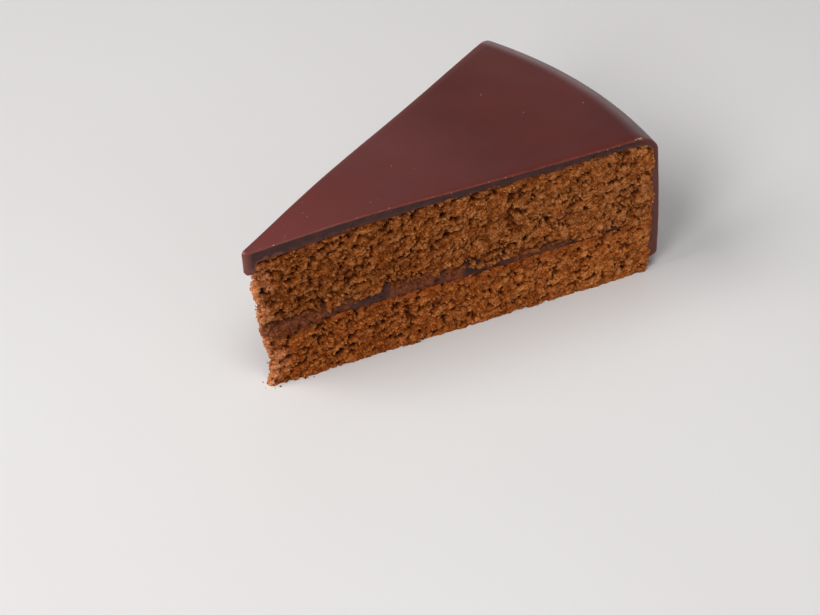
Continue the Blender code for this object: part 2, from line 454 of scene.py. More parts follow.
@dataclass(frozen=True)
class Cake:
    """The round cake and the wedge that the knife took from it, in mm and degrees."""

    radius: float = 122.3
    rim_bulge: float = 0.5
    height: float = 46.4
    dome_rise: float = 1.7
    dome_radius: float = 36.0
    dome_spread: float = 34.0
    droop: float = 0.3
    droop_from: float = 98.0
    droop_span: float = 26.0
    wedge: float = 32.5
    glaze_thin: float = 2.3
    glaze_tip_extra: float = 1.5
    glaze_tip_fade: float = 42.0
    glaze_tip_round: float = 0.9
    shoulder_reach: float = 7.4
    shoulder_drop: float = 5.4
    shoulder_power: float = 1.95
    skirt_top: float = 2.1
    skirt_foot: float = 3.4
    foot_height: float = 4.5
    jam_base: float = 17.6
    jam_full: float = 3.0
    jam_tip: float = 1.6
    jam_rim: float = 1.2
    jam_full_at: float = 48.0
    jam_spread: float = 30.0
    jam_end: float = 112.5
    jam_end_fade: float = 3.0
    jam_wave: float = 0.35
    jam_wave_length: float = 17.0
    sponge_tip_round: float = 1.6
    tip_setback: float = 0.6
    tip_hollow: float = 3.2
    tip_hollow_at: float = 8.0
    tip_hollow_spread: float = 8.5
    tip_wave: float = 0.3
    tip_wave_length: float = 2.9
    foot_tuck: float = 1.2
    smear_end: float = 28.0
    smear_fade: float = 7.0
    smear_rise: float = 0.9
    smear_half_at_tip: float = 4.6
    smear_half: float = 2.4
    smear_narrows_over: float = 30.0
    smear_edge: float = 1.2
    patch_rise: float = 2.4
    patch_edge: float = 1.6
    patch_most: float = 0.8
    roof_strip: float = 0.7
    roof_most: float = 0.7
    # Painted light at the thin, lit tip: how far it reaches, how it fades and how strong it is.
    tip_light_reach: float = 9.0
    tip_light_fade: float = 5.0
    tip_light_most: float = 0.85
    paste_forward: float = 0.4

    @property
    def half(self) -> float:
        """Half the wedge's angle, in radians."""
        return math.radians(self.wedge) / 2.0

    @property
    def tip_at(self) -> float:
        """How far the glaze's rounded tip stands from the cake's axis."""
        return self.glaze_tip_round / math.sin(self.half) - self.glaze_tip_round

    @property
    def shoulder_foot(self) -> float:
        """Height at which the shoulder has turned down into the upright rim."""
        return float(self.top(np.array(self.radius))) - self.shoulder_drop

    def top(self, radius: Array) -> Array:
        """Height of the glaze's top.

        Args:
            radius: distance from the axis in mm.

        Returns:
            Height in mm: level, with a low bell-shaped dome, and a droop towards the rim.
        """
        dome = self.dome_rise * bell(radius, self.dome_radius, self.dome_spread)
        fall = self.droop * smooth_step((radius - self.droop_from) / self.droop_span)
        return self.height + dome - fall

    def glaze_thickness(self, radius: Array) -> Array:
        """Thickest towards the middle of the cake, where it was poured, and thinner by a bell curve."""
        return self.glaze_thin + self.glaze_tip_extra * bell(radius, 0.0, self.glaze_tip_fade)

    def jam_low(self, radius: Array) -> Array:
        """Height of the cut on which the jam was spread: a level line with a slow wave."""
        return self.jam_base + self.jam_wave * np.sin(radius / self.jam_wave_length)

    def jam_high(self, radius: Array) -> Array:
        """Height of the jam's top.

        Args:
            radius: distance from the axis in mm.

        Returns:
            Height in mm: a bell curve above the jam's base, which closes on the base past the jam's
            end.
        """
        end = np.where(radius < self.jam_full_at, self.jam_tip, self.jam_rim)
        full = bell(radius, self.jam_full_at, self.jam_spread)
        beyond = smooth_step((radius - self.jam_end) / self.jam_end_fade)
        return self.jam_low(radius) + mixed(end, self.jam_full, full) * (1.0 - beyond)

    def rim(self, height: Array) -> Array:
        """Outer radius of the glazed rim, which bulges by half a sine at half its height."""
        share = np.clip(height / (self.height - self.shoulder_drop), 0.0, 1.0)
        return self.radius + self.rim_bulge * np.sin(math.pi * share)

    def skirt(self, height: Array) -> Array:
        """Thickness of the glaze on the rim: it ran down, so it is thickest at the foot."""
        share = height / (self.height - self.shoulder_drop)
        return mixed(self.skirt_foot, self.skirt_top, smooth_step(share))

    def shoulder(self, share: Array, reach: float, drop: float) -> tuple[Array, Array]:
        """Inset and fall along the shoulder, a quarter of a superellipse.

        Args:
            share: 0 at the flat top and 1 at the upright rim.
            reach: the quarter's width in mm.
            drop: the quarter's height in mm.

        Returns:
            Radial inset and drop in mm.
        """
        turn = np.clip(share, 0.0, 1.0) * math.pi / 2.0
        power = 2.0 / self.shoulder_power
        return reach * (1.0 - np.sin(turn) ** power), drop * (1.0 - np.cos(turn).clip(0.0) ** power)

    def smeared(self, points: Array) -> Array:
        """Where the knife dragged jam and crumb together.

        Args:
            points: places in mm.

        Returns:
            0 to 1, the greatest of a ragged band round the jam near the tip, patches above the jam, and
            a narrow strip under the glaze.
        """
        radius = from_axis(points)
        height = points[..., 2]
        ragged = Grain(Seed.RAGGED).waves(points, 3.0)
        fray = 0.8 * ragged + Grain(Seed.FRAY).rippled(points, Ripple(0.6, 1.2))
        band = np.abs(height - self.jam_low(radius) - self.smear_rise + fray)
        narrowed = smooth_step(radius / self.smear_narrows_over)
        half_band = mixed(self.smear_half_at_tip, self.smear_half, narrowed)
        dragged = smooth_step((self.smear_end - radius) / self.smear_fade + 0.7 * ragged)
        dragged = dragged * smooth_step((half_band - band) / self.smear_edge)
        patches = Grain(Seed.PATCHES).rippled(points * (1.0, 1.0, 0.6), Ripple(1.5, 6.5))
        patches = smooth_step(patches + 0.5 * ragged + 0.25)
        limit = self.jam_high(radius) + self.patch_rise + 1.2 * ragged
        above = smooth_step((limit - height) / self.patch_edge) * (height > self.jam_low(radius))
        roof = height - self.top(radius) + self.glaze_thickness(radius) + self.roof_strip + 0.6 * ragged
        under_roof = self.roof_most * smooth_step(roof / self.roof_strip)
        return np.maximum.reduce([dragged, self.patch_most * patches * above, under_roof])

    def painted_tip_light(self, points: Array) -> Array:
        """How much painted light the crumb gets at the thin, lit tip.

        Args:
            points: places in mm.

        Returns:
            A number from 0 to 1, which falls with the radius in an S, over an edge made uneven by waves.
        """
        uneven = Grain(Seed.TIP).rippled(points, Ripple(2.0, 2.0))
        reach = self.tip_light_reach + self.sponge_tip(points[..., 2]) + uneven
        radius = from_axis(points)
        return self.tip_light_most * smooth_step((reach - radius) / self.tip_light_fade)

    def paste(self, points: Array) -> Array:
        """The soft lumps of crumb and jam dragged together, which run on from one layer to the next.

        Args:
            points: places in mm.

        Returns:
            Depth behind the knife's plane in mm: the creases where two sizes of waves cross zero, and
            small waves.
        """
        crumbs = Grain(Seed.CRUMBS).lumps(points, 1.0)[0] ** 2
        crumbs = crumbs + 0.7 * Grain(Seed.FINE_CRUMBS).lumps(points, 0.5)[0] ** 2
        depth = Grain(Seed.FLECKS).rippled(points, Ripple(0.12, 0.45)) - self.paste_forward
        depth = depth + 0.75 * np.minimum(crumbs, 1.3)
        return depth + creased(points, (Grain(Seed.CREASES), Grain(Seed.CREASES + 1)), PASTE_CREASES)

    def sponge_tip(self, height: Array) -> Array:
        """How far the tip stands back: hollow near the table by a bell curve, and wavy."""
        hollow = self.tip_hollow * bell(height, self.tip_hollow_at, self.tip_hollow_spread)
        return self.tip_setback + hollow + self.tip_wave * np.sin(height / self.tip_wave_length)

    def sponge_rim(self, height: Array) -> Array:
        """Radius of the sponge just inside the glaze.

        Args:
            height: height above the table in mm.

        Returns:
            Radius in mm: the rim's less the skirt, drawn in by a superellipse under the shoulder and by
            a square at the foot.
        """
        inner = self.rim(height) - self.skirt(height)
        drop = self.shoulder_drop - self.glaze_thin
        above = np.clip((height - (self.height - self.glaze_thin - drop)) / drop, 0.0, 1.0)
        inner = inner - (self.shoulder_reach - self.skirt_top) * (
            1.0 - (1.0 - above**self.shoulder_power) ** (1.0 / self.shoulder_power)
        )
        return inner - self.foot_tuck * np.clip(1.0 - height / self.foot_height, 0.0, None) ** 2

    def fan(self, along: Array, side: Array, rim: Array, setback: Array, tip_round: float) -> Array:
        """Plan positions in a wedge with a rounded tip.

        Args:
            along: 0 at the tip and 1 at the rim.
            side: -1 on the near cut and 1 on the far cut.
            rim: radius at which the wedge ends, in mm.
            setback: how far the tip's sides are moved back from the axis, in mm.
            tip_round: radius of the tip's rounding, in mm.

        Returns:
            X and Y in mm: a point on the tip's arc, moved in a straight line to the same share of the
            rim's arc.
        """
        turn = side * (math.pi / 2.0 - self.half)
        angle = side * self.half
        centre = setback + tip_round / math.sin(self.half)
        tip_x, tip_y = centre - tip_round * np.cos(turn), tip_round * np.sin(turn)
        return np.stack(
            [mixed(tip_x, rim * np.cos(angle), along), mixed(tip_y, rim * np.sin(angle), along)], -1
        )


# --------------------------------------------------------------------------------------------------
# Finishes
# --------------------------------------------------------------------------------------------------


class Node(Enum):
    """Kinds of node: the type, the inputs in the order used here, the output read, and settings."""

    SPOT = ("ShaderNodeTexCoord", (), "Object", {})
    WAY = ("ShaderNodeTexCoord", (), "Generated", {})
    MARK = ("ShaderNodeAttribute", (), "Fac", {})
    NOISE = ("ShaderNodeTexNoise", ("Vector", "Scale", "Detail", "Roughness"), "Fac", {})
    CELLS = ("ShaderNodeTexVoronoi", ("Vector", "Scale"), "Distance", {})
    SPLIT_COLOUR = ("ShaderNodeSeparateColor", (0,), 0, {})
    SPLIT_PLACE = ("ShaderNodeSeparateXYZ", (0,), "X", {})
    TONES = ("ShaderNodeValToRGB", ("Fac",), "Color", {})
    RANGE = ("ShaderNodeMapRange", (0, 1, 2, 3, 4), 0, {})
    MATH = ("ShaderNodeMath", (0, 1), 0, {})
    DOT = ("ShaderNodeVectorMath", (0, 1), "Value", {"operation": "DOT_PRODUCT"})
    MIX = ("ShaderNodeMix", (0, 6, 7), 2, {"data_type": "RGBA"})
    MIX_NUMBERS = ("ShaderNodeMix", (0, 2, 3), 0, {"data_type": "FLOAT"})
    BUMP = ("ShaderNodeBump", ("Strength", "Distance", "Height"), 0, {})


def linear(code: str) -> Colour:
    """A colour from its sRGB hex code.

    Args:
        code: six hex digits after a #.

    Returns:
        Linear red, green and blue, and an alpha of 1.
    """
    levels = (int(code[place : place + 2], 16) / 255.0 for place in (1, 3, 5))
    red, green, blue = (v / 12.92 if v <= 0.04045 else ((v + 0.055) / 1.055) ** 2.4 for v in levels)
    return red, green, blue, 1.0


def scale(size: float) -> float:
    """A pattern's scale, for features of about one size in mm."""
    return 1.0 / (size * MM)


def join(tree: Tree, node: bpy.types.Node, inputs: dict[int | str, float | str | Colour]) -> None:
    """Sets or links a node's inputs.

    Args:
        tree: the node's tree.
        node: the node.
        inputs: by name or number, a value or a colour's hex code to set, or an output socket to link.
    """
    for place, value in inputs.items():
        if isinstance(value, Socket):
            tree.links.new(value, node.inputs[place])
        else:
            node.inputs[place].default_value = linear(value) if isinstance(value, str) else value


def add(tree: Tree, kind: Node, *inputs: float | str | Colour, **settings: object) -> Socket:
    """Adds a node with its settings and links.

    Args:
        tree: the material's node tree.
        kind: the kind of node.
        *inputs: a value, a colour's hex code or an output socket for each of its inputs in turn.
        **settings: values for the node's own settings.

    Returns:
        Its output socket.
    """
    name, places, output, fixed = kind.value
    node = tree.nodes.new(name)
    for setting, value in (fixed | settings).items():
        setattr(node, setting, value)
    join(tree, node, dict(zip(places, inputs)))
    return node.outputs[output]


def started(name: str) -> tuple[bpy.types.Material, Tree, bpy.types.Node, Socket]:
    """Starts a material.

    Args:
        name: the material's name.

    Returns:
        The material, its tree, its Principled shader and the object's own coordinates in metres.
    """
    material = bpy.data.materials.new(name)
    material.use_nodes = True
    tree = material.node_tree
    return material, tree, tree.nodes["Principled BSDF"], add(tree, Node.SPOT)


@dataclass(frozen=True)
class SpongeFinish:
    """Chocolate sponge: baked egg foam with cocoa.

    The knife tore it rather than sliced it, so it is matt, with glints only where a crumb is moist.
    """

    name: str
    # deep: painted shade, laid into pores and recesses by the pit mark.
    deep: str = "#220b01"
    shade: str = "#4c1c02"
    body: str = "#84420f"
    # crest: the palest tone, given to random crumbs and, as a painted highlight, to proud lumps.
    crest: str = "#c4814b"
    soaked: str = "#8f4212"
    # tip and tip_light: painted light and glints at the thin, lit tip.
    tip: str = "#ae5a2c"
    tip_light: str = "#e2a070"
    smear: str = "#622d15"
    smear_light: str = "#824726"
    stops: tuple[float, float, float] = (0.18, 0.5, 0.86)
    crumb_size: float = 0.35
    cell_size: float = 0.5
    broad_size: float = 5.0
    relief: float = 0.22

    def material(self) -> bpy.types.Material:
        """Makes the material.

        Returns:
            A material with crumb tones that are partly painted light, painted shade in the pores,
            jam-soaked crumb, painted light and glints at the thin tip, and a fine grain in the bump.
        """
        material, tree, shader, place = started(self.name)
        marks = {name: add(tree, Node.MARK, attribute_name=name) for name in SPONGE_MARKS}
        fine = add(tree, Node.NOISE, place, scale(self.crumb_size), 3.0, 0.6)
        broad = add(tree, Node.NOISE, place, scale(self.broad_size))
        cells = add(tree, Node.CELLS, place, scale(self.cell_size))
        mottled = add(tree, Node.MIX, 0.3, marks["tone"], fine)
        cell_tones = add(tree, Node.SPLIT_COLOUR, cells.node.outputs["Color"])
        mottled = add(tree, Node.MIX, 0.22, mottled, cell_tones)
        colour = add(tree, Node.TONES, mottled)
        elements = colour.node.color_ramp.elements
        elements.new(0.5)
        for element, stop, code in zip(elements, self.stops, (self.shade, self.body, self.crest)):
            element.position, element.color = stop, linear(code)
        soaked = add(tree, Node.MIX, marks["soak"], colour, self.soaked)
        colour = add(tree, Node.MIX, 0.75, colour, soaked)
        flecks = add(tree, Node.RANGE, fine, 0.35, 0.65)
        dragged = add(tree, Node.MIX, flecks, self.smear, self.smear_light)
        smeared = add(tree, Node.RANGE, marks["smear"], 0.0, 1.0, 0.0, 0.85)
        colour = add(tree, Node.MIX, smeared, colour, dragged)
        # Painted light and glints at the thin tip, where the tip mark is strong.
        glints = add(tree, Node.RANGE, mottled, 0.3, 0.75)
        tip_lit_colour = add(tree, Node.MIX, glints, self.tip, self.tip_light)
        colour = add(tree, Node.MIX, marks["tip"], colour, tip_lit_colour)
        light = add(tree, Node.RANGE, broad, 0.3, 0.7, 0.86, 1.12)
        colour = add(tree, Node.MIX, 1.0, colour, light, blend_type="MULTIPLY")
        # Painted shade: the pit mark lays the deep colour into pores and recesses.
        colour = add(tree, Node.MIX, marks["pit"], colour, self.deep)
        grain = add(tree, Node.NOISE, place, scale(self.crumb_size), 3.0, 0.65)
        grain = add(tree, Node.MATH, grain, cells, operation="SUBTRACT")
        surface = {"Base Color": colour, "Roughness": add(tree, Node.RANGE, fine, 0.3, 0.7, 0.85, 0.62)}
        surface |= {"IOR": 1.42, "Specular IOR Level": 0.15}
        surface |= {"Normal": add(tree, Node.BUMP, 0.8, self.relief * MM, grain)}
        join(tree, shader, surface)
        return material


@dataclass(frozen=True)
class GlazeFinish:
    """Poured chocolate glaze, cooked with sugar and set: smooth and satin.

    It is dark red-brown where it is thick, with a painted red highlight along its rounded edges, and
    drier and greyer where it was cut.
    """

    name: str
    body: str = "#56211b"
    deep: str = "#4b1c17"
    # edge: a painted highlight along the rounded edges.
    edge: str = "#703022"
    cut: str = "#2f0d08"
    cut_light: str = "#431810"
    stained: str = "#6e3424"
    # Painted reflection: the lighter colour towards the tip.
    tip_reflection: str = "#6b332f"
    cut_skirt: str = "#582a20"
    tip_reflection_span: tuple[float, float] = (-0.055, 0.015)
    skirt_span: tuple[float, float] = (0.048, 0.054)
    dull: float = 0.7

    def material(self) -> bpy.types.Material:
        """Makes the material.

        Returns:
            A material with broad soft mottling, a painted reflection that makes it lighter towards the
            tip, a painted red highlight along its rounded edges, and a dull cut face stained along the
            crumb.
        """
        material, tree, shader, place = started(self.name)
        is_cut, edge, stain = (
            add(tree, Node.MARK, attribute_name=name) for name in ("cut", "edge", "stain")
        )
        cloud = add(tree, Node.RANGE, add(tree, Node.NOISE, place, scale(30.0)), 0.35, 0.65)
        colour = add(tree, Node.MIX, cloud, self.body, self.deep)
        place_x = add(tree, Node.SPLIT_PLACE, place)
        # Painted reflection: lighter towards the tip.
        towards_tip = add(tree, Node.RANGE, place_x, *self.tip_reflection_span, 1.0, 0.0)
        colour = add(tree, Node.MIX, towards_tip, colour, self.tip_reflection)
        # Painted highlight along the rounded edges, broken up by noise.
        edge_highlight = add(tree, Node.NOISE, place, scale(2.2), 3.0, 0.6)
        edge_highlight = add(tree, Node.RANGE, edge_highlight, 0.35, 0.65, 0.35, 1.0)
        edge_highlight = add(tree, Node.MATH, edge_highlight, edge, operation="MULTIPLY")
        colour = add(tree, Node.MIX, edge_highlight, colour, self.edge)
        streak = add(tree, Node.NOISE, place, scale(3.0), 4.0, 0.6)
        streak = add(tree, Node.RANGE, streak, 0.45, 0.7)
        cut = add(tree, Node.MIX, streak, self.cut, self.cut_light)
        on_skirt = add(tree, Node.RANGE, place_x, *self.skirt_span)
        cut = add(tree, Node.MIX, on_skirt, cut, self.cut_skirt)
        cut = add(tree, Node.MIX, stain, cut, self.stained)
        film = add(tree, Node.NOISE, place, scale(14.0), 3.0)
        film = add(tree, Node.RANGE, film, 0.3, 0.7, 0.285, 0.35)
        grain = add(tree, Node.NOISE, place, scale(0.8), 3.0, 0.6)
        surface = {"Base Color": add(tree, Node.MIX, is_cut, colour, cut), "IOR": 1.47}
        surface |= {"Roughness": add(tree, Node.MIX_NUMBERS, is_cut, film, self.dull)}
        surface |= {"Normal": add(tree, Node.BUMP, 0.12, 0.05 * MM, grain)}
        join(tree, shader, surface)
        return material


@dataclass(frozen=True)
class JamFinish:
    """Apricot jam that has drawn cocoa out of the sponge.

    It is dark, sticky and half gloss, with a purple-brown cast.
    """

    name: str
    # deep: painted shade for the holes.
    deep: str = "#180c09"
    body: str = "#2e130c"
    light: str = "#4a2820"
    crumbed: str = "#682e13"
    crumbed_light: str = "#8a4923"
    # tip: painted light at the thin, lit tip.
    tip: str = "#8a4c30"
    dull: float = 0.7

    def material(self) -> bpy.types.Material:
        """Makes the material.

        Returns:
            A material like a cloudy gel, which turns to brown paste where it was smeared into the crumb,
            with painted shade in its holes and painted light at the tip.
        """
        material, tree, shader, place = started(self.name)
        smear, tip, pit = (add(tree, Node.MARK, attribute_name=name) for name in ("smear", "tip", "pit"))
        cloud = add(tree, Node.RANGE, add(tree, Node.NOISE, place, scale(2.4), 3.0, 0.6), 0.35, 0.7)
        colour = add(tree, Node.MIX, cloud, self.body, self.light)
        patchy = add(tree, Node.RANGE, add(tree, Node.NOISE, place, scale(0.35), 3.0, 0.6), 0.35, 0.65)
        crumbed = add(tree, Node.MIX, patchy, self.crumbed, self.crumbed_light)
        colour = add(tree, Node.MIX, smear, colour, crumbed)
        # Painted light at the tip.
        colour = add(tree, Node.MIX, tip, colour, self.tip)
        # Painted shade in the jam's holes and deep paste.
        colour = add(tree, Node.MIX, pit, colour, self.deep)
        gloss = add(tree, Node.RANGE, add(tree, Node.NOISE, place, scale(1.2)), 0.3, 0.7, 0.22, 0.42)
        ripple = add(tree, Node.NOISE, place, scale(0.7))
        surface = {"Base Color": colour, "IOR": 1.46, "Specular IOR Level": 0.22}
        surface |= {"Roughness": add(tree, Node.MIX_NUMBERS, smear, gloss, self.dull)}
        surface |= {"Normal": add(tree, Node.BUMP, 0.3, 0.1 * MM, ripple)}
        join(tree, shader, surface)
        return material


# --------------------------------------------------------------------------------------------------
# Sponge and jam: layers with two cut faces
# --------------------------------------------------------------------------------------------------


@dataclass
class Layer:
    """A layer that runs through the slice.

    Its wall is a closed loop of columns: up the near cut from rim to tip, round the tip, along the far
    cut, and back round the rim. Its top and bottom close on a seam along the slice's middle.
    """

    cake: Cake
    fine: float
    rim_step: float
    seed: int
    dragged: float = 0.4
    tip_columns: int = 16
    cap_rings: int = 4
    middle_at: float = 60.0
    far_from: float = 500.0
    rim_from: float = 900.0
    rim_length: float = 60.0
    tip_deepest: float = 0.8
    rim_proudest: float = 0.2
    cut_deepest: float = 0.25
    deeper_with_width: float = 0.3
    seam_inset: float = 0.5
    wall: Array = field(init=False, repr=False)
    inward: Array = field(init=False, repr=False)
    marks: dict[str, Array] = field(init=False, repr=False)

    @property
    def rim_cells(self) -> int:
        """How many columns run round the rim, behind the glaze."""
        return int(self.cake.radius * 2 * self.cake.half / self.rim_step)

    def low(self, radius: Array, place: Array) -> Array:
        """Height of the underside, by radius and by place along the wall in mm."""
        raise NotImplementedError

    def high(self, radius: Array, place: Array) -> Array:
        """Height of the upper side, by radius and by place along the wall in mm."""
        raise NotImplementedError

    def rim(self, height: Array) -> Array:
        """Radius at which the layer ends: just inside the glaze, but for crumbs dragged over it."""
        ragged = Grain(self.seed + Edge.RIM).along(height, Ripple(0.5, 3.1), Ripple(0.3, 1.1, 9.0))
        return self.cake.sponge_rim(height) + self.dragged + ragged

    def relief(self, points: Array, inward: Array) -> tuple[Array, dict[str, Array]]:
        """How far each point of the wall lies behind the knife's plane, in mm, and what it carries."""
        raise NotImplementedError

    def loop(self) -> tuple[Array, Array, Array, Array]:
        """The wall's columns.

        Returns:
            For each column: along (0 tip, 1 rim), side (-1 near, 1 far), the inward direction, and the
            place in mm along its wall.
        """
        cake = self.cake
        length = cake.radius - cake.sponge_tip_round / math.sin(cake.half)
        cells = int(length / self.fine)
        walk = np.arange(cells) / cells
        arc = np.arange(self.tip_columns) / self.tip_columns
        rim_cells = self.rim_cells
        back = np.arange(rim_cells) / rim_cells
        along = np.concatenate([1 - walk, np.zeros(self.tip_columns), walk, np.ones(rim_cells)])
        side = np.concatenate([np.full(cells, -1.0), 2 * arc - 1, np.full(cells, 1.0), 1 - 2 * back])
        square = math.pi / 2 - cake.half
        cut = np.full(cells, square)
        turn = np.concatenate([cut, -square * (2 * arc - 1), -cut, np.zeros(rim_cells)])
        inward = np.stack([np.cos(turn), np.sin(turn), np.zeros(len(turn))], -1)
        angle = side * cake.half
        at_rim = np.arange(len(side)) >= 2 * cells + self.tip_columns
        inward[at_rim] = np.stack([-np.cos(angle), -np.sin(angle), np.zeros(len(side))], -1)[at_rim]
        near = (1 - walk) * length
        far = walk * length + self.far_from
        round_rim = back * self.rim_length + self.rim_from
        return along, side, inward, np.concatenate([near, np.zeros(self.tip_columns), far, round_rim])

    def raise_wall(self) -> Array:
        """Works out the wall, its inward directions and its marks.

        The wall is a grid of points, rows up from the underside by columns round the slice, set back by
        its relief: only so far as the wedge has room for there, and hardly forward of the rim.

        Returns:
            Side of each column.
        """
        cake = self.cake
        along, side, inward, place = self.loop()
        middle = np.full(1, self.middle_at)
        thickness = float((self.high(middle, np.zeros(1)) - self.low(middle, np.zeros(1)))[0])
        rows = int(thickness / self.fine)
        rise = (np.arange(rows + 1) / rows)[:, None]
        rough_radius = mixed(cake.tip_at, cake.radius, along)[None, :]
        nominal = mixed(self.low(rough_radius, place), self.high(rough_radius, place), rise)
        plan = cake.fan(along, side, self.rim(nominal), cake.sponge_tip(nominal), cake.sponge_tip_round)
        radius = from_axis(plan)
        height = mixed(self.low(radius, place), self.high(radius, place), rise)
        wall = np.concatenate([plan, height[..., None]], -1)
        self.inward = np.broadcast_to(inward, wall.shape)
        depth, self.marks = self.relief(wall, self.inward)
        room = self.cut_deepest + self.deeper_with_width * radius * math.sin(cake.half)
        on_cut = np.abs(side) == 1
        depth = np.minimum(depth, np.where(on_cut, room, self.tip_deepest))
        depth = np.where((along == 1) & ~on_cut, np.maximum(depth, -self.rim_proudest), depth)
        self.wall = wall + depth[..., None] * inward
        return side

    def cap(self, edge: Array, row: Array, walls: int, offset: int) -> tuple[Array, Array]:
        """Closes the top or the bottom of the wall.

        Args:
            edge: the points of the wall's last or first row, in mm.
            row: their numbers.
            walls: columns on each cut.
            offset: the number of the first new point.

        Returns:
            The new points, and the point numbers of the rings, which shrink from the row to a seam
            midway between the cuts.
        """
        count = len(edge)
        out = np.arange(walls)
        seam = np.concatenate([out[::-1], np.zeros(self.tip_columns, int), out])
        seam = np.concatenate([seam, np.full(count - len(seam), walls - 1)])
        near_edge = edge[:walls][::-1]
        far_edge = edge[self.tip_columns + walls : self.tip_columns + 2 * walls]
        spine = np.zeros((walls, 3))
        spine[:, 0] = near_edge[:, 0]
        spine[0, 0] += self.seam_inset
        spine[:, 2] = 0.5 * (near_edge[:, 2] + far_edge[:, 2])
        shares = np.arange(1, self.cap_rings) / self.cap_rings
        points = [mixed(edge, spine[seam], share) for share in shares]
        between = offset + np.arange(len(shares) * count).reshape(-1, count)
        rings = np.concatenate([row[None], between, offset + between.size + seam[None]])
        return np.concatenate([*points, spine]), rings

    def skin(self) -> Skin:
        """The layer's closed surface.

        Returns:
            The wall as four patches, near cut, tip, far cut and rim, and a cap above and below.
        """
        side = self.raise_wall()
        wall = self.wall
        count = len(side)
        walls = int(np.sum(np.abs(side) == 1) // 2)
        grid = np.arange(wall.shape[0] * count).reshape(-1, count)
        ring = np.hstack([grid, grid[:, :1]])
        turns = np.cumsum([0, walls, self.tip_columns, walls, count - 2 * walls - self.tip_columns])
        parts = [Part.NEAR_CUT, Part.TIP, Part.FAR_CUT, Part.RIM]
        patches = [
            patched(ring[:, start : end + 1], part.value)
            for part, start, end in zip(parts, turns[:-1], turns[1:])
        ]
        points = [wall.reshape(-1, 3)]
        for end, part in ((0, Part.UNDERSIDE), (-1, Part.UPPER_SIDE)):
            added, rings = self.cap(wall[end], grid[end], walls, sum(map(len, points)))
            points.append(added)
            found, places = patched(rings, part.value, closed=True)
            patches.append((found, places) if end else (found[:, ::-1], places[:, ::-1]))
        points = np.concatenate(points)
        triangles, places = (np.concatenate(part) for part in zip(*patches))
        carried = {}
        for label, values in self.marks.items():
            carried[label] = np.zeros(len(points))
            carried[label][: values.size] = values.ravel()
        return Skin(points, triangles, carried, places)


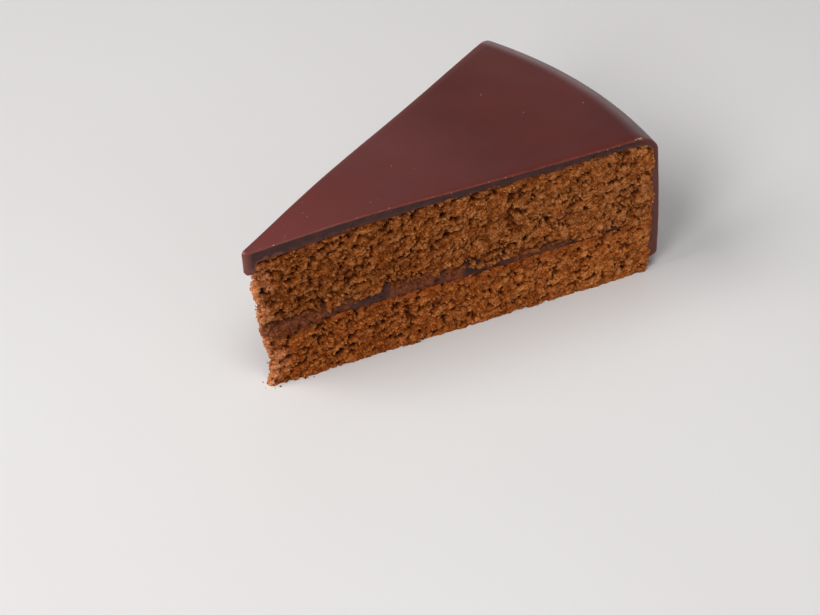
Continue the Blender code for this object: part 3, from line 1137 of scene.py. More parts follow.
@dataclass
class Sponge(Layer):
    """A layer of torn crumb."""

    soak_reach: float = 3.0
    squash: tuple[float, float, float] = (0.9, 0.9, 1.2)
    lean: float = 0.25
    sway_reach: float = 0.4
    sway_size: float = 2.2
    stir_reach: float = 0.15
    stir_size: float = 0.7
    deepest: float = 2.4
    gap_depth: float = 1.6
    gap_edge: float = 0.4
    gaps_where_loose: float = 0.16
    coarse_until: float = 16.5
    coarse_fade: float = 110.0
    lump_sizes: tuple[float, float, float] = (2.6, 1.1, 0.55)
    pressed_height: float = 2.5
    shadow_reach: tuple[int, int] = (6, 6)
    bubbles: Pores = Pores(4.2, 0.35, (0.4, 0.4, 0.3), (1.8, 1.8, 1.4))
    cracks: Pores = Pores(5.2, 0.35, (1.0, 0.8, 0.25), (4.5, 2.5, 0.7))
    specks: Pores = Pores(1.25, 0.3, (0.18, 0.18, 0.16), (0.6, 0.6, 0.5))

    def stirred(self, points: Array) -> tuple[Array, Array]:
        """Where the crumb's patterns are looked up.

        Args:
            points: places in mm.

        Returns:
            The places, squashed and leaning as the batter rose and stirred by two sizes of waves, and
            the larger waves by themselves.
        """
        flat = points * self.squash - points[..., :1] * (0.0, 0.0, self.lean)
        grain = [Grain(self.seed + turn) for turn in range(3)]
        sway, stir = (
            np.stack([each.waves(flat + shift * turn, size) for turn, each in enumerate(grain)], -1)
            for shift, size in ((40.0, self.sway_size), (90.0, self.stir_size))
        )
        return flat + self.sway_reach * sway + self.stir_reach * stir, sway

    def holes(self, flat: Array, inward: Array, looseness: Array) -> Array:
        """The gaps in the crumb.

        Args:
            flat: places in the stirred crumb in mm.
            inward: unit vectors into the cake.
            looseness: how loose the crumb is there, from 0 to 1.

        Returns:
            Depth in mm, up to the deepest: the greatest of bubbles, cracks, specks, and gaps where
            waves of three sizes add up to more than 0.
        """
        grain = [Grain(self.seed + turn) for turn in range(3, 7)]
        gaps = sum(each.rippled(flat, wave) for each, wave in zip(grain, CRUMB_GAPS))
        gaps = gaps + self.gaps_where_loose * (looseness - 1.0)
        bubbles = self.bubbles.depth(grain[1], flat, inward)
        cracks = 0.8 * self.cracks.depth(grain[2], flat, inward)
        specks = 0.8 * self.specks.depth(grain[3], flat, inward)
        gaps = self.gap_depth * smooth_step(gaps / self.gap_edge)
        return np.minimum(np.maximum.reduce([bubbles, cracks, specks, gaps]), self.deepest)

    def relief(self, points: Array, inward: Array) -> tuple[Array, dict[str, Array]]:
        """The torn crumb: holes, and packed lumps between them.

        Args:
            points: places on the knife's plane in mm.
            inward: unit vectors into the cake.

        Returns:
            Depth behind the plane, as the sum of a slow wave, the holes, creases where three sizes of
            waves cross zero, and the falls between lumps of two sizes, and the marks pit (painted shade
            in recesses), tone (partly a painted highlight and painted light), soak, tip (painted light)
            and smear.
        """
        cake = self.cake
        grain = [Grain(self.seed + turn) for turn in range(9)]
        radius = from_axis(points)
        height = points[..., 2]
        flat, sway = self.stirred(points)
        coarse = smooth_step(1.0 - (radius - self.coarse_until) / self.coarse_fade)
        loose = 0.5 + grain[0].rippled(points, Ripple(0.5, 7.0, 60.0))
        holes = self.holes(flat, inward, loose * (0.4 + 0.6 * coarse))
        clumps = creased(flat, grain[6:], CRUMB_CREASES)
        broad, middle, small = self.lump_sizes
        away, tone = grain[7].lumps(flat, middle)
        small_away, small_tone = grain[8].lumps(flat + 0.2 * sway, small)
        for fall, far in ((0.5, away), (0.36, small_away)):
            clumps = clumps + fall * np.clip(far / 0.8, 0.0, 1.0) ** 2
        relief = holes * (0.78 + 0.22 * coarse) + clumps * (0.68 + 0.32 * coarse)
        relief = mixed(relief, 0.5 * relief + 0.4, smooth_step(1.0 - height / self.pressed_height))
        waves = grain[3].rippled(points, Ripple(0.25, 9.0))
        waves = waves + grain[6].rippled(points, Ripple(0.06, 0.3, 3.0))
        smear = cake.smeared(points)
        paste = cake.paste(points) + 0.4 * (relief - 1.0)
        depth = mixed(waves + relief - 1.0, paste, smear)
        # The pit mark is painted shade: darker where the crumb lies deeper than the mean round it, and
        # in deep paste.
        proud = relief - blurred(relief, self.shadow_reach)
        pit = mixed(smooth_step((proud - 0.1) / 0.95), 0.7 * smooth_step(paste / 1.1), smear)
        _, broad_tone = grain[2].lumps(flat, broad)
        # Tone: random crumb tones, and a painted highlight where the crumb stands proud of the mean
        # round it.
        tone = 0.2 * broad_tone + 0.25 * tone + 0.15 * small_tone + 0.4 * smooth_step(0.5 - proud * 0.9)
        # Painted light: lighter towards the rim and darker towards the tip.
        tone = tone + 0.3 * (radius / cake.radius - 0.55)
        below = cake.jam_low(radius) - height
        soak = smooth_step(1.0 - np.abs(below) / self.soak_reach) * (below > 0.0)
        # The tip mark is painted light at the thin, lit tip.
        tip = cake.painted_tip_light(points)
        return depth, {"pit": pit, "tone": tone, "soak": soak, "tip": tip, "smear": smear}


@dataclass
class UpperSponge(Sponge):
    """The thicker layer, whose torn lower edge hangs over the jam."""

    def low(self, radius: Array, place: Array) -> Array:
        """The jam's top, with a torn edge.

        Args:
            radius: distance from the axis in mm.
            place: place along the wall in mm.

        Returns:
            Height in mm, ragged by three sizes of waves, which end where the jam does.
        """
        torn = (Ripple(0.8, 3.7), Ripple(0.35, 1.4, 70.0), Ripple(0.12, 0.6))
        edge = Grain(self.seed + Edge.LOWER).along(place, *torn)
        jammed = smooth_step((self.cake.jam_end + 1.5 - radius) / 4.0)
        return self.cake.jam_high(radius) - OVERLAP + edge * jammed

    def high(self, radius: Array, place: Array) -> Array:
        """Just inside the glaze, with crumbs that the knife dragged up over its cut edge."""
        edge = Grain(self.seed + Edge.UPPER).along(place, Ripple(0.4, 3.1), Ripple(0.35, 1.1, 70.0))
        return self.cake.top(radius) - self.cake.glaze_thickness(radius) + self.dragged + edge


@dataclass
class LowerSponge(Sponge):
    """The thinner layer, on the table, which the jam has soaked from above."""

    def low(self, radius: Array, place: Array) -> Array:
        """The table."""
        return np.zeros_like(radius)

    def high(self, radius: Array, place: Array) -> Array:
        """The cut on which the jam was spread."""
        return self.cake.jam_low(radius) + OVERLAP


@dataclass
class Jam(Layer):
    """The jam, which sags back under the upper sponge and bulges a little above the lower one."""

    reach: float = 1.7
    bulge: float = 0.7
    bulge_at: float = 0.2
    set_back: float = 0.15
    torn_deepest: float = 0.9
    tuck: float = 0.6
    tuck_fade: float = 1.3
    patchiness: float = 0.85
    holes: Pores = Pores(2.6, 0.4, (0.2, 0.2, 0.15), (1.2, 1.2, 0.7))

    def low(self, radius: Array, place: Array) -> Array:
        """The cut on which the jam was spread."""
        return self.cake.jam_low(radius) - OVERLAP

    def high(self, radius: Array, place: Array) -> Array:
        """A little way into the torn crumb above, except where the jam ends."""
        jammed = smooth_step((self.cake.jam_end + 0.5 - radius) / 4.0)
        return self.cake.jam_high(radius) + self.reach * jammed

    def rim(self, height: Array) -> Array:
        """The jam stops short of the glaze."""
        return np.full_like(height, self.cake.jam_end + 1.0)

    def relief(self, points: Array, inward: Array) -> tuple[Array, dict[str, Array]]:
        """A soft bulge low down that falls back towards the top, dimpled and torn in places.

        Args:
            points: places on the knife's plane in mm.
            inward: unit vectors into the cake.

        Returns:
            Depth behind the plane in mm, as a parabola of the height within the layer plus two sizes of
            waves, and the marks pit (painted shade in the holes and deep paste), smear and tip (painted
            light).
        """
        cake = self.cake
        grain = Grain(self.seed)
        radius = from_axis(points)
        height = points[..., 2]
        share = (height - cake.jam_low(radius)) / (cake.jam_high(radius) - cake.jam_low(radius) + 0.4)
        bulge = self.bulge * (np.clip(share, 0.0, 1.4) - self.bulge_at) ** 2
        waves = grain.rippled(points * (1.0, 1.0, 1.4), Ripple(0.22, 2.6))
        waves = waves + grain.rippled(points, Ripple(0.14, 0.9))
        torn = self.holes.depth(Grain(self.seed + 1), points, inward).clip(0.0, self.torn_deepest)
        smeared = cake.smeared(points)
        patches = grain.rippled(points, Ripple(1.6, 4.5, 30.0), Ripple(0.5, 1.3, 60.0))
        smear = np.maximum(smeared, self.patchiness * smooth_step(patches))
        tucked = self.tuck * smooth_step((height - cake.jam_high(radius) + 0.2) / self.tuck_fade)
        paste = cake.paste(points) + 0.4 * torn + tucked
        depth = mixed(self.set_back + bulge + waves + torn, paste, smeared)
        # The pit mark is painted shade: it darkens the torn holes and the deep paste.
        pit = mixed(0.8 * smooth_step(torn / 0.8), 0.7 * smooth_step(paste / 1.1), smear)
        return depth, {"pit": pit, "smear": smear, "tip": cake.painted_tip_light(points)}


def icosahedron() -> tuple[Array, Array]:
    """Twelve points, the even turns of (0, 1, golden ratio), and the twenty triangles between them.

    Returns:
        Unit points, and point numbers with their faces outward: those of points two apart.
    """
    golden = (1 + math.sqrt(5)) / 2
    pairs = np.array([(0.0, a, b * golden) for a in (-1, 1) for b in (-1, 1)])
    points = np.concatenate([pairs, pairs[:, [1, 2, 0]], pairs[:, [2, 0, 1]]])
    gaps = np.linalg.norm(points[:, None] - points[None], axis=-1)
    near = np.abs(gaps - 2.0) < 1e-6
    corners = np.array([(a, b, c) for a in range(12) for b in range(12) for c in range(12)])
    a, b, c = corners.T
    corners = corners[near[a, b] & near[b, c] & near[c, a] & (a < b) & (a < c)]
    a, b, c = points[corners.T]
    turned = np.sum(np.cross(a, b) * c, axis=-1) > 0
    return points / np.linalg.norm(points[0]), corners[turned]


def grains(random: np.random.Generator, places: Array, sizes: Array, marks: dict[str, Array]) -> Skin:
    """Angular grains of twenty sides, joined in one mesh.

    Args:
        random: the source of the grains' uneven shapes.
        places: their middles in mm.
        sizes: their mean radii in mm.
        marks: what each carries.

    Returns:
        A skin of closed grains: icosahedra with uneven points, stretched and turned at random. On the
        map each has a square cell of its own, in which it lies as seen from one side.
    """
    shape, faces = icosahedron()
    count = len(places)
    stretch = random.uniform(*GRAIN_STRETCH, (count, 1, 3)) * sizes[:, None, None]
    made = shape[None] * random.uniform(*GRAIN_UNEVEN, (count, len(shape), 1)) * stretch
    turn = np.linalg.qr(random.normal(size=(count, 3, 3)))[0]
    turn[:, :, 0] *= np.linalg.det(turn)[:, None]
    made = np.einsum("nij,nkj->nki", turn, made) + places[:, None]
    made[..., 2] -= np.minimum(made[..., 2].min(axis=1, keepdims=True), 0.0)
    points = made.reshape(-1, 3)
    triangles = (faces[None] + len(shape) * np.arange(count)[:, None, None]).reshape(-1, 3)
    carried = {label: np.repeat(values, len(shape)) for label, values in marks.items()}
    side = math.ceil(math.sqrt(count))
    cell = np.stack([np.arange(count) % side, np.arange(count) // side], -1)
    spread = 0.5 + 0.3 * (shape[:, :2] + shape[:, 2:] * GRAIN_SLANT)
    places = ((cell[:, None] + spread) / side).reshape(-1, 2)[triangles]
    return Skin(points, triangles, carried, places)


@dataclass
class Crumbs:
    """Crumbs that cling to a sponge's torn faces, half sunk in them, and a few on the table.

    Each is paler than the crumb behind it, by a mean and a spread.
    """

    sponge: Sponge
    count: int
    fallen: int
    seed: int
    smallest: float = 0.13
    largest: float = 0.42
    most_are_small: float = 3.0
    less_in_pits: float = 0.85
    less_in_paste: float = 0.2
    more_at_tip: float = 1.2
    sink: float = 0.4
    jitter: float = 0.12
    foot_reach: float = 12.0
    far_share: float = 0.02
    least_away: float = 0.15
    mean_away: float = 0.4
    slide: float = 0.3
    fallen_sizes: tuple[float, float] = (0.14, 0.38)
    paler: tuple[float, float] = (0.12, 0.2)

    def skin(self) -> Skin:
        """The crumbs as one mesh of many closed grains.

        Returns:
            A skin: clinging grains stand at random points of the wall, mostly where it is proud, and
            fallen ones within a few millimetres of the foot, more of them near the tip. Each carries
            the sponge's marks.
        """
        random = np.random.default_rng(self.seed)
        sponge = self.sponge
        wall = sponge.wall.reshape(-1, 3)
        inward = sponge.inward.reshape(-1, 3)
        marks = {label: values.ravel() for label, values in sponge.marks.items()}
        count = sponge.wall.shape[1]
        columns = np.broadcast_to(np.arange(count), sponge.wall.shape[:2]).ravel()
        bare = columns < count - sponge.rim_cells
        weight = bare * (1.0 - self.less_in_pits * marks["pit"])
        weight = weight * (1.0 - self.less_in_paste * marks["smear"])
        weight = weight * (1.0 + self.more_at_tip * marks["tip"])
        chosen = random.choice(len(wall), self.count, replace=False, p=weight / weight.sum())
        size = mixed(self.smallest, self.largest, random.random(self.count) ** self.most_are_small)
        sunk = random.uniform(-self.sink, self.sink, self.count) * size
        place = wall[chosen] + inward[chosen] * sunk[:, None]
        place = place + random.uniform(-self.jitter, self.jitter, (self.count, 3))
        if self.fallen:
            foot = np.nonzero(bare[:count])[0]
            closeness = np.exp(-from_axis(wall[foot]) / self.foot_reach) + self.far_share
            dropped = random.choice(foot, self.fallen, p=closeness / closeness.sum())
            away = random.exponential(self.mean_away, self.fallen) + self.least_away
            slide = random.normal(0.0, self.slide, (self.fallen, 3)) * (1.0, 1.0, 0.0)
            fallen = wall[dropped] - inward[dropped] * away[:, None] + slide
            place, chosen = np.concatenate([place, fallen]), np.concatenate([chosen, dropped])
            size = np.concatenate([size, random.uniform(*self.fallen_sizes, self.fallen)])
        place[self.count :, 2] = 0.0
        # The crumbs carry the sponge's painted light at the tip, and half its painted shade in recesses.
        carried = {label: marks[label][chosen] for label in ("soak", "tip", "smear")}
        tone = marks["tone"][chosen] + random.normal(*self.paler, len(chosen))
        carried["tone"] = np.clip(tone, 0.0, 1.0)
        carried["pit"] = 0.5 * marks["pit"][chosen]
        return grains(random, place, size, carried)


# --------------------------------------------------------------------------------------------------
# The glaze
# --------------------------------------------------------------------------------------------------


@dataclass
class Glaze:
    """The glaze: a sheet over the top, the shoulder and the rim, with a drip at the tip.

    Its cut edges are rounded. Round the sheet runs a loop: over its outside, down the far cut, back
    along its inside and up the near cut. The stain at the tip and at the rim is given as how strong it
    is, the radius at which it ends or starts, and the width over which it fades.
    """

    cake: Cake
    seed: int = 31
    bevel: float = 0.5
    widest_lip: float = 0.2
    blunt: float = 3.0
    bevel_steps: int = 5
    middle_cells: int = 26
    step: float = 0.33
    wall_steps: int = 9
    drip: float = 3.2
    drip_reach: float = 3.7
    drip_fade: float = 1.5
    drip_round: float = 1.0
    even_tip: float = 8.0
    even_tip_fade: float = 10.0
    even_rim: float = 9.0
    even_rim_fade: float = 6.0
    foot_round: float = 1.4
    nose: float = 1.7
    shoulder_steps: int = 26
    skirt_step: float = 0.6
    foot_lift: float = 0.6
    edge_width: float = 0.75
    edge_fade: float = 0.6
    cut_proud: float = 0.04
    cut_from: float = 0.3
    cut_fade: float = 2.4
    stain_from: float = 0.62
    stain_fade: float = 0.25
    stain_least: float = 0.25
    stain_tip: tuple[float, float, float] = (0.75, 20.0, 12.0)
    stain_rim: tuple[float, float, float] = (0.5, 115.0, 4.0)
    corner_at: float = 116.3
    corner_crumbs: tuple[int, ...] = (4, 4, 5, 4, 5, 4)
    corner_sizes: tuple[float, float] = (0.22, 0.34)
    nick_columns: int = 4
    nick_sizes: tuple[float, float] = (0.08, 0.22)
    speck_sizes: tuple[float, float] = (0.08, 0.17)
    bare_columns: int = 8
    speckled_share: float = 0.85
    surface: Array = field(init=False, repr=False)

    def stations(self) -> tuple[Array, Array, Array]:
        """Where the sheet is sampled from tip to foot.

        Returns:
            Share of the way over the top, share of the way round the shoulder, and height on the rim,
            for each row.
        """
        cake = self.cake
        length = cake.radius - cake.shoulder_reach - cake.tip_at
        quarter = np.arange(self.bevel_steps + 1) * math.pi / 2 / self.bevel_steps
        lip = self.bevel * (1 - np.cos(quarter)) / length
        cells = int(length / self.step)
        top = np.concatenate([lip, np.linspace(lip[-1], 1.0, cells)[1:]])
        turn = np.arange(1, self.shoulder_steps + 1) / self.shoulder_steps
        start = cake.shoulder_foot
        rim_cells = int((start - cake.foot_height) / self.skirt_step)
        heights = np.linspace(start, cake.foot_height, rim_cells + 1)[1:]
        over = np.concatenate([top, np.ones(len(turn) + len(heights))])
        round_ = np.concatenate([np.zeros(len(top)), turn, np.ones(len(heights))])
        rim = np.concatenate([np.full(len(top) + len(turn), start), heights])
        return over, round_, rim

    def over_top(self, plan: Array, inside: float) -> Array:
        """The sheet on the cake's flat top.

        Args:
            plan: X and Y of its points in mm.
            inside: 0 for the outside and 1 for the inside.

        Returns:
            Points in mm. The inside lies lower by the glaze's thickness, waves where the crumb is
            uneven, and the drip at the tip, whose lower end is rounded by a quarter circle.
        """
        cake = self.cake
        radius = from_axis(plan)
        front = radius - cake.tip_at
        drip = self.drip * smooth_step((self.drip_reach - front) / self.drip_fade)
        drip = drip - rounded(front, self.drip_round)
        flat = np.concatenate([plan, np.zeros_like(plan[..., :1])], -1)
        uneven = Grain(self.seed).rippled(flat, Ripple(0.35, 3.1, 9.0), Ripple(0.2, 1.2, 33.0))
        uneven = uneven * smooth_step((radius - self.even_tip) / self.even_tip_fade)
        uneven = uneven * smooth_step((cake.radius - radius - self.even_rim) / self.even_rim_fade)
        thick = cake.glaze_thickness(radius) + drip + uneven
        return np.concatenate([plan, (cake.top(radius) - inside * thick)[..., None]], -1)

    def over_rim(self, side: Array, turn: Array, rim_height: Array, inside: float) -> Array:
        """The sheet round the shoulder and down the rim.

        Args:
            side: -1 on the near cut and 1 on the far cut.
            turn: share of the way round the shoulder.
            rim_height: height on the rim in mm.
            inside: 0 for the outside and 1 for the inside.

        Returns:
            Points in mm. Its foot rises and falls by waves round the rim, and curls in by a quarter
            circle.
        """
        cake = self.cake
        angle = side * cake.half
        reach = cake.shoulder_reach - inside * cake.skirt_top
        drop = cake.shoulder_drop - inside * cake.glaze_thin
        inset, fall = cake.shoulder(turn * np.ones_like(side), reach, drop)
        radius = cake.radius - inside * cake.skirt_top - inset
        height = cake.top(radius) - inside * cake.glaze_thin - fall
        start = cake.shoulder_foot
        foot = Grain(self.seed).along(angle * cake.radius, Ripple(1.1, 13.0), Ripple(0.5, 4.0, 5.0))
        foot = cake.foot_height + self.foot_lift + foot
        on_rim = (rim_height < start) * np.ones_like(side, bool)
        rim_height = start - (start - rim_height) * (start - foot) / (start - cake.foot_height)
        curl = (1.0 - inside) * rounded(rim_height - foot, self.foot_round)
        radius = np.where(on_rim, cake.rim(rim_height) - inside * cake.skirt(rim_height) - curl, radius)
        height = np.where(on_rim, rim_height, height)
        return np.stack([radius * np.cos(angle), radius * np.sin(angle), height], -1)

    def sheet(self, inside: float) -> tuple[Array, Array, Array]:
        """The sheet's outside or inside.

        Args:
            inside: 0 for the outside and 1 for the inside.

        Returns:
            Points in mm, rows by stations from the near cut to the far cut. For each, how far it falls
            by the quarter circles that round the sheet's edges and its nose, and its distance from the
            edge, in mm.
        """
        cake = self.cake
        over, turn, rim_height = (values[:, None] for values in self.stations())
        width = 2 * cake.half * mixed(cake.tip_at + self.blunt, cake.radius, over)
        lip = np.minimum(self.bevel, self.widest_lip * width)
        quarter = np.arange(self.bevel_steps) * math.pi / 2 / self.bevel_steps
        edge = lip * (1 - np.cos(quarter))
        inner = mixed(lip, width - lip, np.linspace(0.0, 1.0, self.middle_cells + 1))
        across = np.concatenate([edge, inner, width - edge[:, ::-1]], axis=1)
        side = 2 * across / width - 1
        flat_end = np.full_like(over, cake.radius - cake.shoulder_reach)
        plan = cake.fan(over, side, flat_end, 0.0, cake.glaze_tip_round)
        bend = self.over_rim(side, turn, rim_height, inside)
        points = np.where((turn > 0)[..., None], bend, self.over_top(plan, inside))
        front = from_axis(plan) - cake.tip_at
        distance = np.minimum(across, width - across)
        distance = np.minimum(distance, np.where(over < 1, front, BEYOND))
        return points, np.maximum(rounded(distance, lip), rounded(front, self.nose)), distance

    def specks(self, scattered: int, nicks: int) -> Skin:
        """Tiny crumbs on the glaze.

        Args:
            scattered: how many lie all over the top.
            nicks: how many the knife dragged along the near edge.

        Returns:
            A skin of grains, the largest of them at the near corner of the rim.
        """
        random = np.random.default_rng(self.seed + 9)
        rows, wide = self.surface.shape[:2]
        bare = self.bare_columns
        row = random.integers(0, int(rows * self.speckled_share), scattered)
        row = np.concatenate([row, random.integers(0, rows, nicks)])
        column = random.integers(bare, wide - bare, scattered)
        column = np.concatenate([column, random.integers(0, self.nick_columns, nicks)])
        small = mixed(*self.speck_sizes, random.random(scattered) ** 2)
        size = np.concatenate([small, random.uniform(*self.nick_sizes, nicks)])
        radius = from_axis(self.surface[:, 0])
        more = len(self.corner_crumbs)
        corner = int(np.argmin(np.abs(radius - self.corner_at))) - more // 2
        row = np.concatenate([row, corner + np.arange(more)])
        column = np.concatenate([column, self.corner_crumbs])
        size = np.concatenate([size, random.uniform(*self.corner_sizes, more)])
        tone = random.uniform(0.3, 1.0, len(size))
        return grains(random, self.surface[row, column], size, {"tone": tone})

    def faces(self, wide: int) -> tuple[Array, Array]:
        """Which points of a loop lie on the cut faces.

        Args:
            wide: how many points the sheet is across.

        Returns:
            For each point of a loop: 1 on the far cut, -1 on the near cut or 0, and how far through the
            sheet it lies, from 0 outside to 1 inside.
        """
        steps = self.wall_steps
        side = np.zeros(2 * (wide + steps - 1))
        through = side.copy()
        far, near = slice(wide - 1, wide + steps), slice(2 * wide + steps - 2, None)
        side[far], side[near], side[0] = 1.0, -1.0, -1.0
        through[far] = np.arange(steps + 1) / steps
        through[near] = 1.0 - np.arange(steps) / steps
        return side, through

    def end_wall(self, loop: Array, row: Array, offset: int) -> tuple[Array, Array]:
        """Closes the sheet at its tip or at its foot.

        Args:
            loop: the points of the first or last loop, in mm.
            row: their numbers.
            offset: the number of the first new point.

        Returns:
            The new points, and the numbers of all the wall's points, rows from the outside to the
            inside.
        """
        steps = self.wall_steps
        wide = len(row) // 2 - steps + 1
        back = slice(wide + steps - 1, 2 * wide + steps - 1)
        numbers = np.zeros((steps + 1, wide), int)
        numbers[0], numbers[-1] = row[:wide], row[back][::-1]
        numbers[1:-1, -1] = row[wide : wide + steps - 1]
        numbers[1:-1, 0] = row[2 * wide + steps - 1 :][::-1]
        inside = numbers[1:-1, 1:-1]
        inside[:] = offset + np.arange(inside.size).reshape(inside.shape)
        share = (np.arange(1, steps) / steps)[:, None, None]
        points = mixed(loop[1 : wide - 1], loop[back][::-1][1:-1], share)
        return points.reshape(-1, 3), numbers

    def skin(self) -> Skin:
        """The glaze's closed surface: loops round the sheet from tip to foot, and two end walls.

        Returns:
            The skin, with marks edge (1 on the rounded edges), cut (1 on the cut faces) and stain (where
            crumb was dragged over the lower part of a cut face).
        """
        outer, drop, distance = self.sheet(0.0)
        inner, _, _ = self.sheet(1.0)
        thickness = np.linalg.norm(outer - inner, axis=-1, keepdims=True)
        grain = Grain(self.seed + 5)
        swell = grain.rippled(outer * (1, 1, 0.3), Ripple(0.1, 26.0))
        swell = swell + grain.rippled(outer, Ripple(0.03, 7.0))
        outer = outer + (inner - outer) / thickness * (drop - swell)[..., None]
        self.surface = outer
        wide = outer.shape[1]
        steps = (np.arange(1, self.wall_steps) / self.wall_steps)[None, :, None]
        far = mixed(outer[:, -1:], inner[:, -1:], steps)
        near = mixed(inner[:, :1], outer[:, :1], steps)
        loop = np.concatenate([outer, far, inner[:, ::-1], near], axis=1)
        side, through = self.faces(wide)
        half = self.cake.half
        outward = [-math.sin(half) * np.abs(side), math.cos(half) * side, np.zeros(len(side))]
        torn = grain.rippled(loop, Ripple(0.07, 1.6), Ripple(0.05, 0.6, 50.0), Ripple(0.16, 3.2))
        loop = loop + np.stack(outward, -1) * (self.cut_proud + torn)[..., None]
        radius = from_axis(loop)
        cut = np.abs(side) * smooth_step((radius - self.cake.tip_at - self.cut_from) / self.cut_fade)
        edge = np.zeros(loop.shape[:2])
        edge[:, :wide] = smooth_step((self.edge_width - distance) / self.edge_fade)
        ragged = grain.rippled(loop, Ripple(0.25, 1.3))
        stain = smooth_step((through - self.stain_from + ragged) / self.stain_fade)
        near_tip, tip_end, tip_fade = self.stain_tip
        near_rim, rim_start, rim_fade = self.stain_rim
        near_tip = near_tip * smooth_step((tip_end - radius) / tip_fade)
        near_rim = near_rim * smooth_step((radius - rim_start) / rim_fade)
        stain = stain * (self.stain_least + near_tip + near_rim)
        points = [loop.reshape(-1, 3)]
        grid = np.arange(cut.size).reshape(cut.shape)
        triangles = [patched(grid, closed=True)[0]]
        marks = {"cut": [cut.ravel()], "edge": [edge.ravel()], "stain": [stain.ravel()]}
        # The tip's end wall gets half the painted edge highlight, and the foot's none.
        for end, edge_highlight in ((0, 0.5), (-1, 0.0)):
            added, numbers = self.end_wall(loop[end], grid[end], sum(map(len, points)))
            points.append(added)
            found, _ = patched(numbers)
            triangles.append(found[:, ::-1] if end else found)
            for label, value in (("cut", 0.0), ("edge", edge_highlight), ("stain", 0.0)):
                marks[label].append(np.full(len(added), value))
        carried = {label: np.concatenate(values) for label, values in marks.items()}
        return Skin(np.concatenate(points), np.concatenate(triangles), carried)


# --------------------------------------------------------------------------------------------------
# Floor, light and camera
# --------------------------------------------------------------------------------------------------


@dataclass(frozen=True)
class Lamp:
    """A soft rectangular lamp.

    It stands at a place and is turned to an aim, both in metres, as is its size; its power is in watts.
    """

    name: str
    place: tuple[float, float, float]
    aim: tuple[float, float, float]
    size: tuple[float, float]
    power: float
    colour: str = "#ffffff"

    def lit(self) -> bpy.types.Object:
        """Makes the lamp.

        Returns:
            The lamp, linked to the scene and turned to its aim.
        """
        data = bpy.data.lights.new(self.name, "AREA")
        data.shape, data.size, data.size_y = "RECTANGLE", *self.size
        data.energy = self.power
        data.color = linear(self.colour)[:3]
        made = bpy.data.objects.new(self.name, data)
        made.location = self.place
        made.rotation_euler = (Vector(self.aim) - Vector(self.place)).to_track_quat("-Z", "Y").to_euler()
        bpy.context.scene.collection.objects.link(made)
        return made


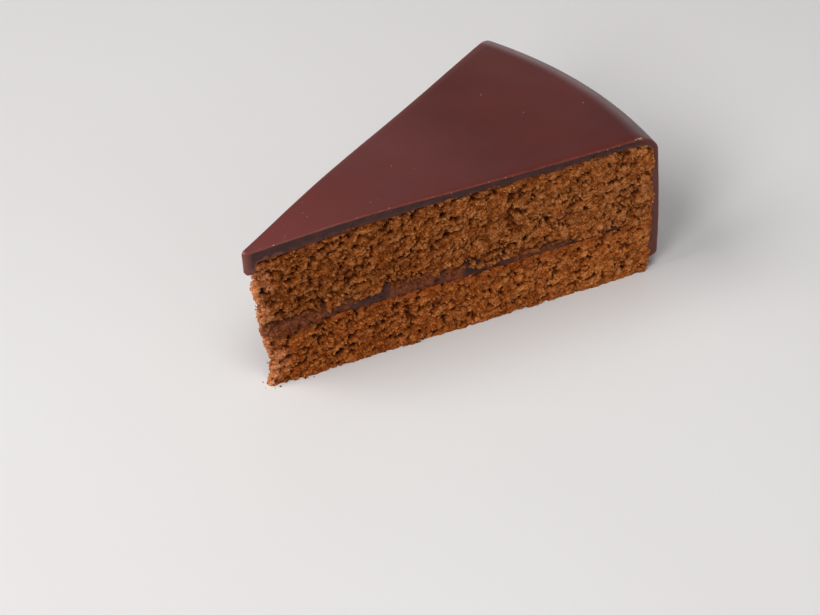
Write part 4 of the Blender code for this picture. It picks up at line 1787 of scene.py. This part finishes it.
@dataclass(frozen=True)
class Studio:
    """A plain pale floor, soft lamps, and the camera on a long lens, a little tilted."""

    axis_x: float
    focal: float = 111.1
    sensor: float = 36.0
    place: tuple[float, float, float] = (-0.2760, -0.4307, 0.4470)
    pitch: float = 39.48
    turn: float = -37.59
    roll: float = -3.38
    floor_size: float = 3.0
    horizon: str = "#e4e6ea"
    zenith: str = "#60646c"
    dusk_height: float = 0.45
    strength: float = 0.6
    glow: Colour = (2.6, 2.3, 2.36, 1.0)
    glow_way: tuple[float, float, float] = (0.64, 0.76, -0.1)
    glow_span: tuple[float, float] = (0.75, 0.99)
    glow_power: float = 1.6

    def floor(self) -> bpy.types.Object:
        """Makes the floor.

        Returns:
            A flat pale square, which isn't part of the object.
        """
        half = self.floor_size / 2
        mesh = bpy.data.meshes.new("floor")
        corners = [(-half, -half, 0), (half, -half, 0), (half, half, 0), (-half, half, 0)]
        mesh.from_pydata(corners, [], [(0, 1, 2, 3)])
        made = bpy.data.objects.new("floor", mesh)
        bpy.context.scene.collection.objects.link(made)
        material, tree, shader, place = started("pale_laminate")
        shade = add(tree, Node.RANGE, add(tree, Node.NOISE, place, scale(180.0), 1.0), 0.3, 0.7)
        colour = add(tree, Node.MIX, shade, "#d9d6d4", "#dddbd9")
        join(tree, shader, {"Base Color": colour, "Roughness": 0.55, "Specular IOR Level": 0.3})
        mesh.materials.append(material)
        return made

    def camera(self) -> bpy.types.Object:
        """Makes the camera.

        Returns:
            The camera, turned about the vertical, pitched down, and rolled about its own line of sight.
        """
        data = bpy.data.cameras.new("camera")
        data.lens, data.sensor_width = self.focal, self.sensor
        data.clip_start, data.clip_end = 0.01, 20.0
        made = bpy.data.objects.new("camera", data)
        aim = Matrix.Identity(4)
        for angle, axis in ((self.turn, "Z"), (90 - self.pitch, "X"), (self.roll, "Z")):
            aim = aim @ Matrix.Rotation(math.radians(angle), 4, axis)
        x, y, z = self.place
        made.matrix_world = Matrix.Translation((x + self.axis_x * MM, y, z)) @ aim
        bpy.context.scene.collection.objects.link(made)
        bpy.context.scene.camera = made
        return made

    def world(self) -> None:
        """Makes the surround: pale at the horizon, darker above.

        It is bright in the one direction from which the glaze's shoulder takes its highlight.
        """
        world = bpy.data.worlds.new("studio")
        bpy.context.scene.world = world
        world.use_nodes = True
        tree = world.node_tree
        way = add(tree, Node.WAY)
        height = add(tree, Node.SPLIT_PLACE, way).node.outputs["Z"]
        darker = add(tree, Node.RANGE, height, 0.0, self.dusk_height)
        sky = add(tree, Node.MIX, darker, self.horizon, self.zenith)
        facing = add(tree, Node.DOT, way, self.glow_way)
        glow = add(tree, Node.RANGE, facing, *self.glow_span)
        glow = add(tree, Node.MATH, glow, self.glow_power, operation="POWER")
        sky = add(tree, Node.MIX, glow, sky, self.glow)
        join(tree, tree.nodes["Background"], {"Color": sky, "Strength": self.strength})

    def set_up(self) -> None:
        """Makes the floor, the surround, the lamps and the camera."""
        self.floor()
        self.world()
        for lamp in (
            Lamp("window", (-0.75, 0.45, 1.0), (0.0, 0.0, 0.03), (0.8, 0.8), 11.0),
            Lamp("left", (-1.0, -0.45, 0.8), (0.0, 0.0, 0.02), (0.45, 0.45), 7.0),
            Lamp("above", (-0.2, -0.5, 1.3), (0.0, 0.0, 0.02), (0.5, 0.5), 6.0),
            Lamp("fill", (-0.1, -1.2, 0.9), (0.0, 0.0, 0.02), (1.0, 0.8), 1.5, "#fff6ec"),
        ):
            lamp.lit()
        self.camera()
        bpy.context.scene.view_settings.view_transform = "Standard"


# --------------------------------------------------------------------------------------------------
# The slice
# --------------------------------------------------------------------------------------------------


def set_down(
    skin: Skin, slot: Piece, axis_x: float, finish: bpy.types.Material, crumbs: str = ""
) -> bpy.types.Object:
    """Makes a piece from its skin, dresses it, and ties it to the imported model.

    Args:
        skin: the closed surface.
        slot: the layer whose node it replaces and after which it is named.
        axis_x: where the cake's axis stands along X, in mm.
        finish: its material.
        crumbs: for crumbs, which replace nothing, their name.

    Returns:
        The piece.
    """
    made = skin.piece(crumbs or slot.value + "_detail", axis_x)
    made.data.materials.append(finish)
    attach(made, "root")
    if not crumbs:
        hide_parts(slot.value)
    LOG.info("%s: %d points, %d triangles", made.name, len(skin.points), len(skin.triangles))
    return made


def main() -> None:
    """Builds the slice piece by piece, and then the studio."""
    cake = Cake()
    axis_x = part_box(Piece.GLAZE.value)[0].x / MM - cake.tip_at
    LOG.info("cake's axis at x = %.2f mm", axis_x)
    upper = UpperSponge(cake, fine=0.27, rim_step=4.0, seed=100)
    torn = SpongeFinish("chocolate_sponge_torn").material()
    set_down(upper.skin(), Piece.UPPER_SPONGE, axis_x, torn)
    lower = LowerSponge(cake, fine=0.25, rim_step=0.6, seed=200)
    soaked = SpongeFinish("chocolate_sponge_soaked", body="#934813", crest="#cf884a").material()
    set_down(lower.skin(), Piece.LOWER_SPONGE, axis_x, soaked)
    upper_crumbs = Crumbs(upper, count=8500, fallen=0, seed=7)
    set_down(upper_crumbs.skin(), Piece.UPPER_SPONGE, axis_x, torn, "upper_crumbs")
    lower_crumbs = Crumbs(lower, count=6000, fallen=20, seed=7)
    set_down(lower_crumbs.skin(), Piece.LOWER_SPONGE, axis_x, soaked, "lower_crumbs")
    jam = Jam(cake, fine=0.3, rim_step=3.0, seed=300)
    set_down(jam.skin(), Piece.JAM, axis_x, JamFinish("apricot_jam_set").material())
    glaze = Glaze(cake)
    set_down(glaze.skin(), Piece.GLAZE, axis_x, GlazeFinish("chocolate_glaze_poured").material())
    specks = glaze.specks(scattered=40, nicks=38)
    dry = SpongeFinish("chocolate_crumb_dry", shade="#633527", body="#84503c", crest="#d8b09a")
    set_down(specks, Piece.UPPER_SPONGE, axis_x, dry.material(), "glaze_specks")
    Studio(axis_x).set_up()


if __name__ == "__main__":
    logging.basicConfig(level=logging.INFO, format="%(name)s: %(message)s")
    main()
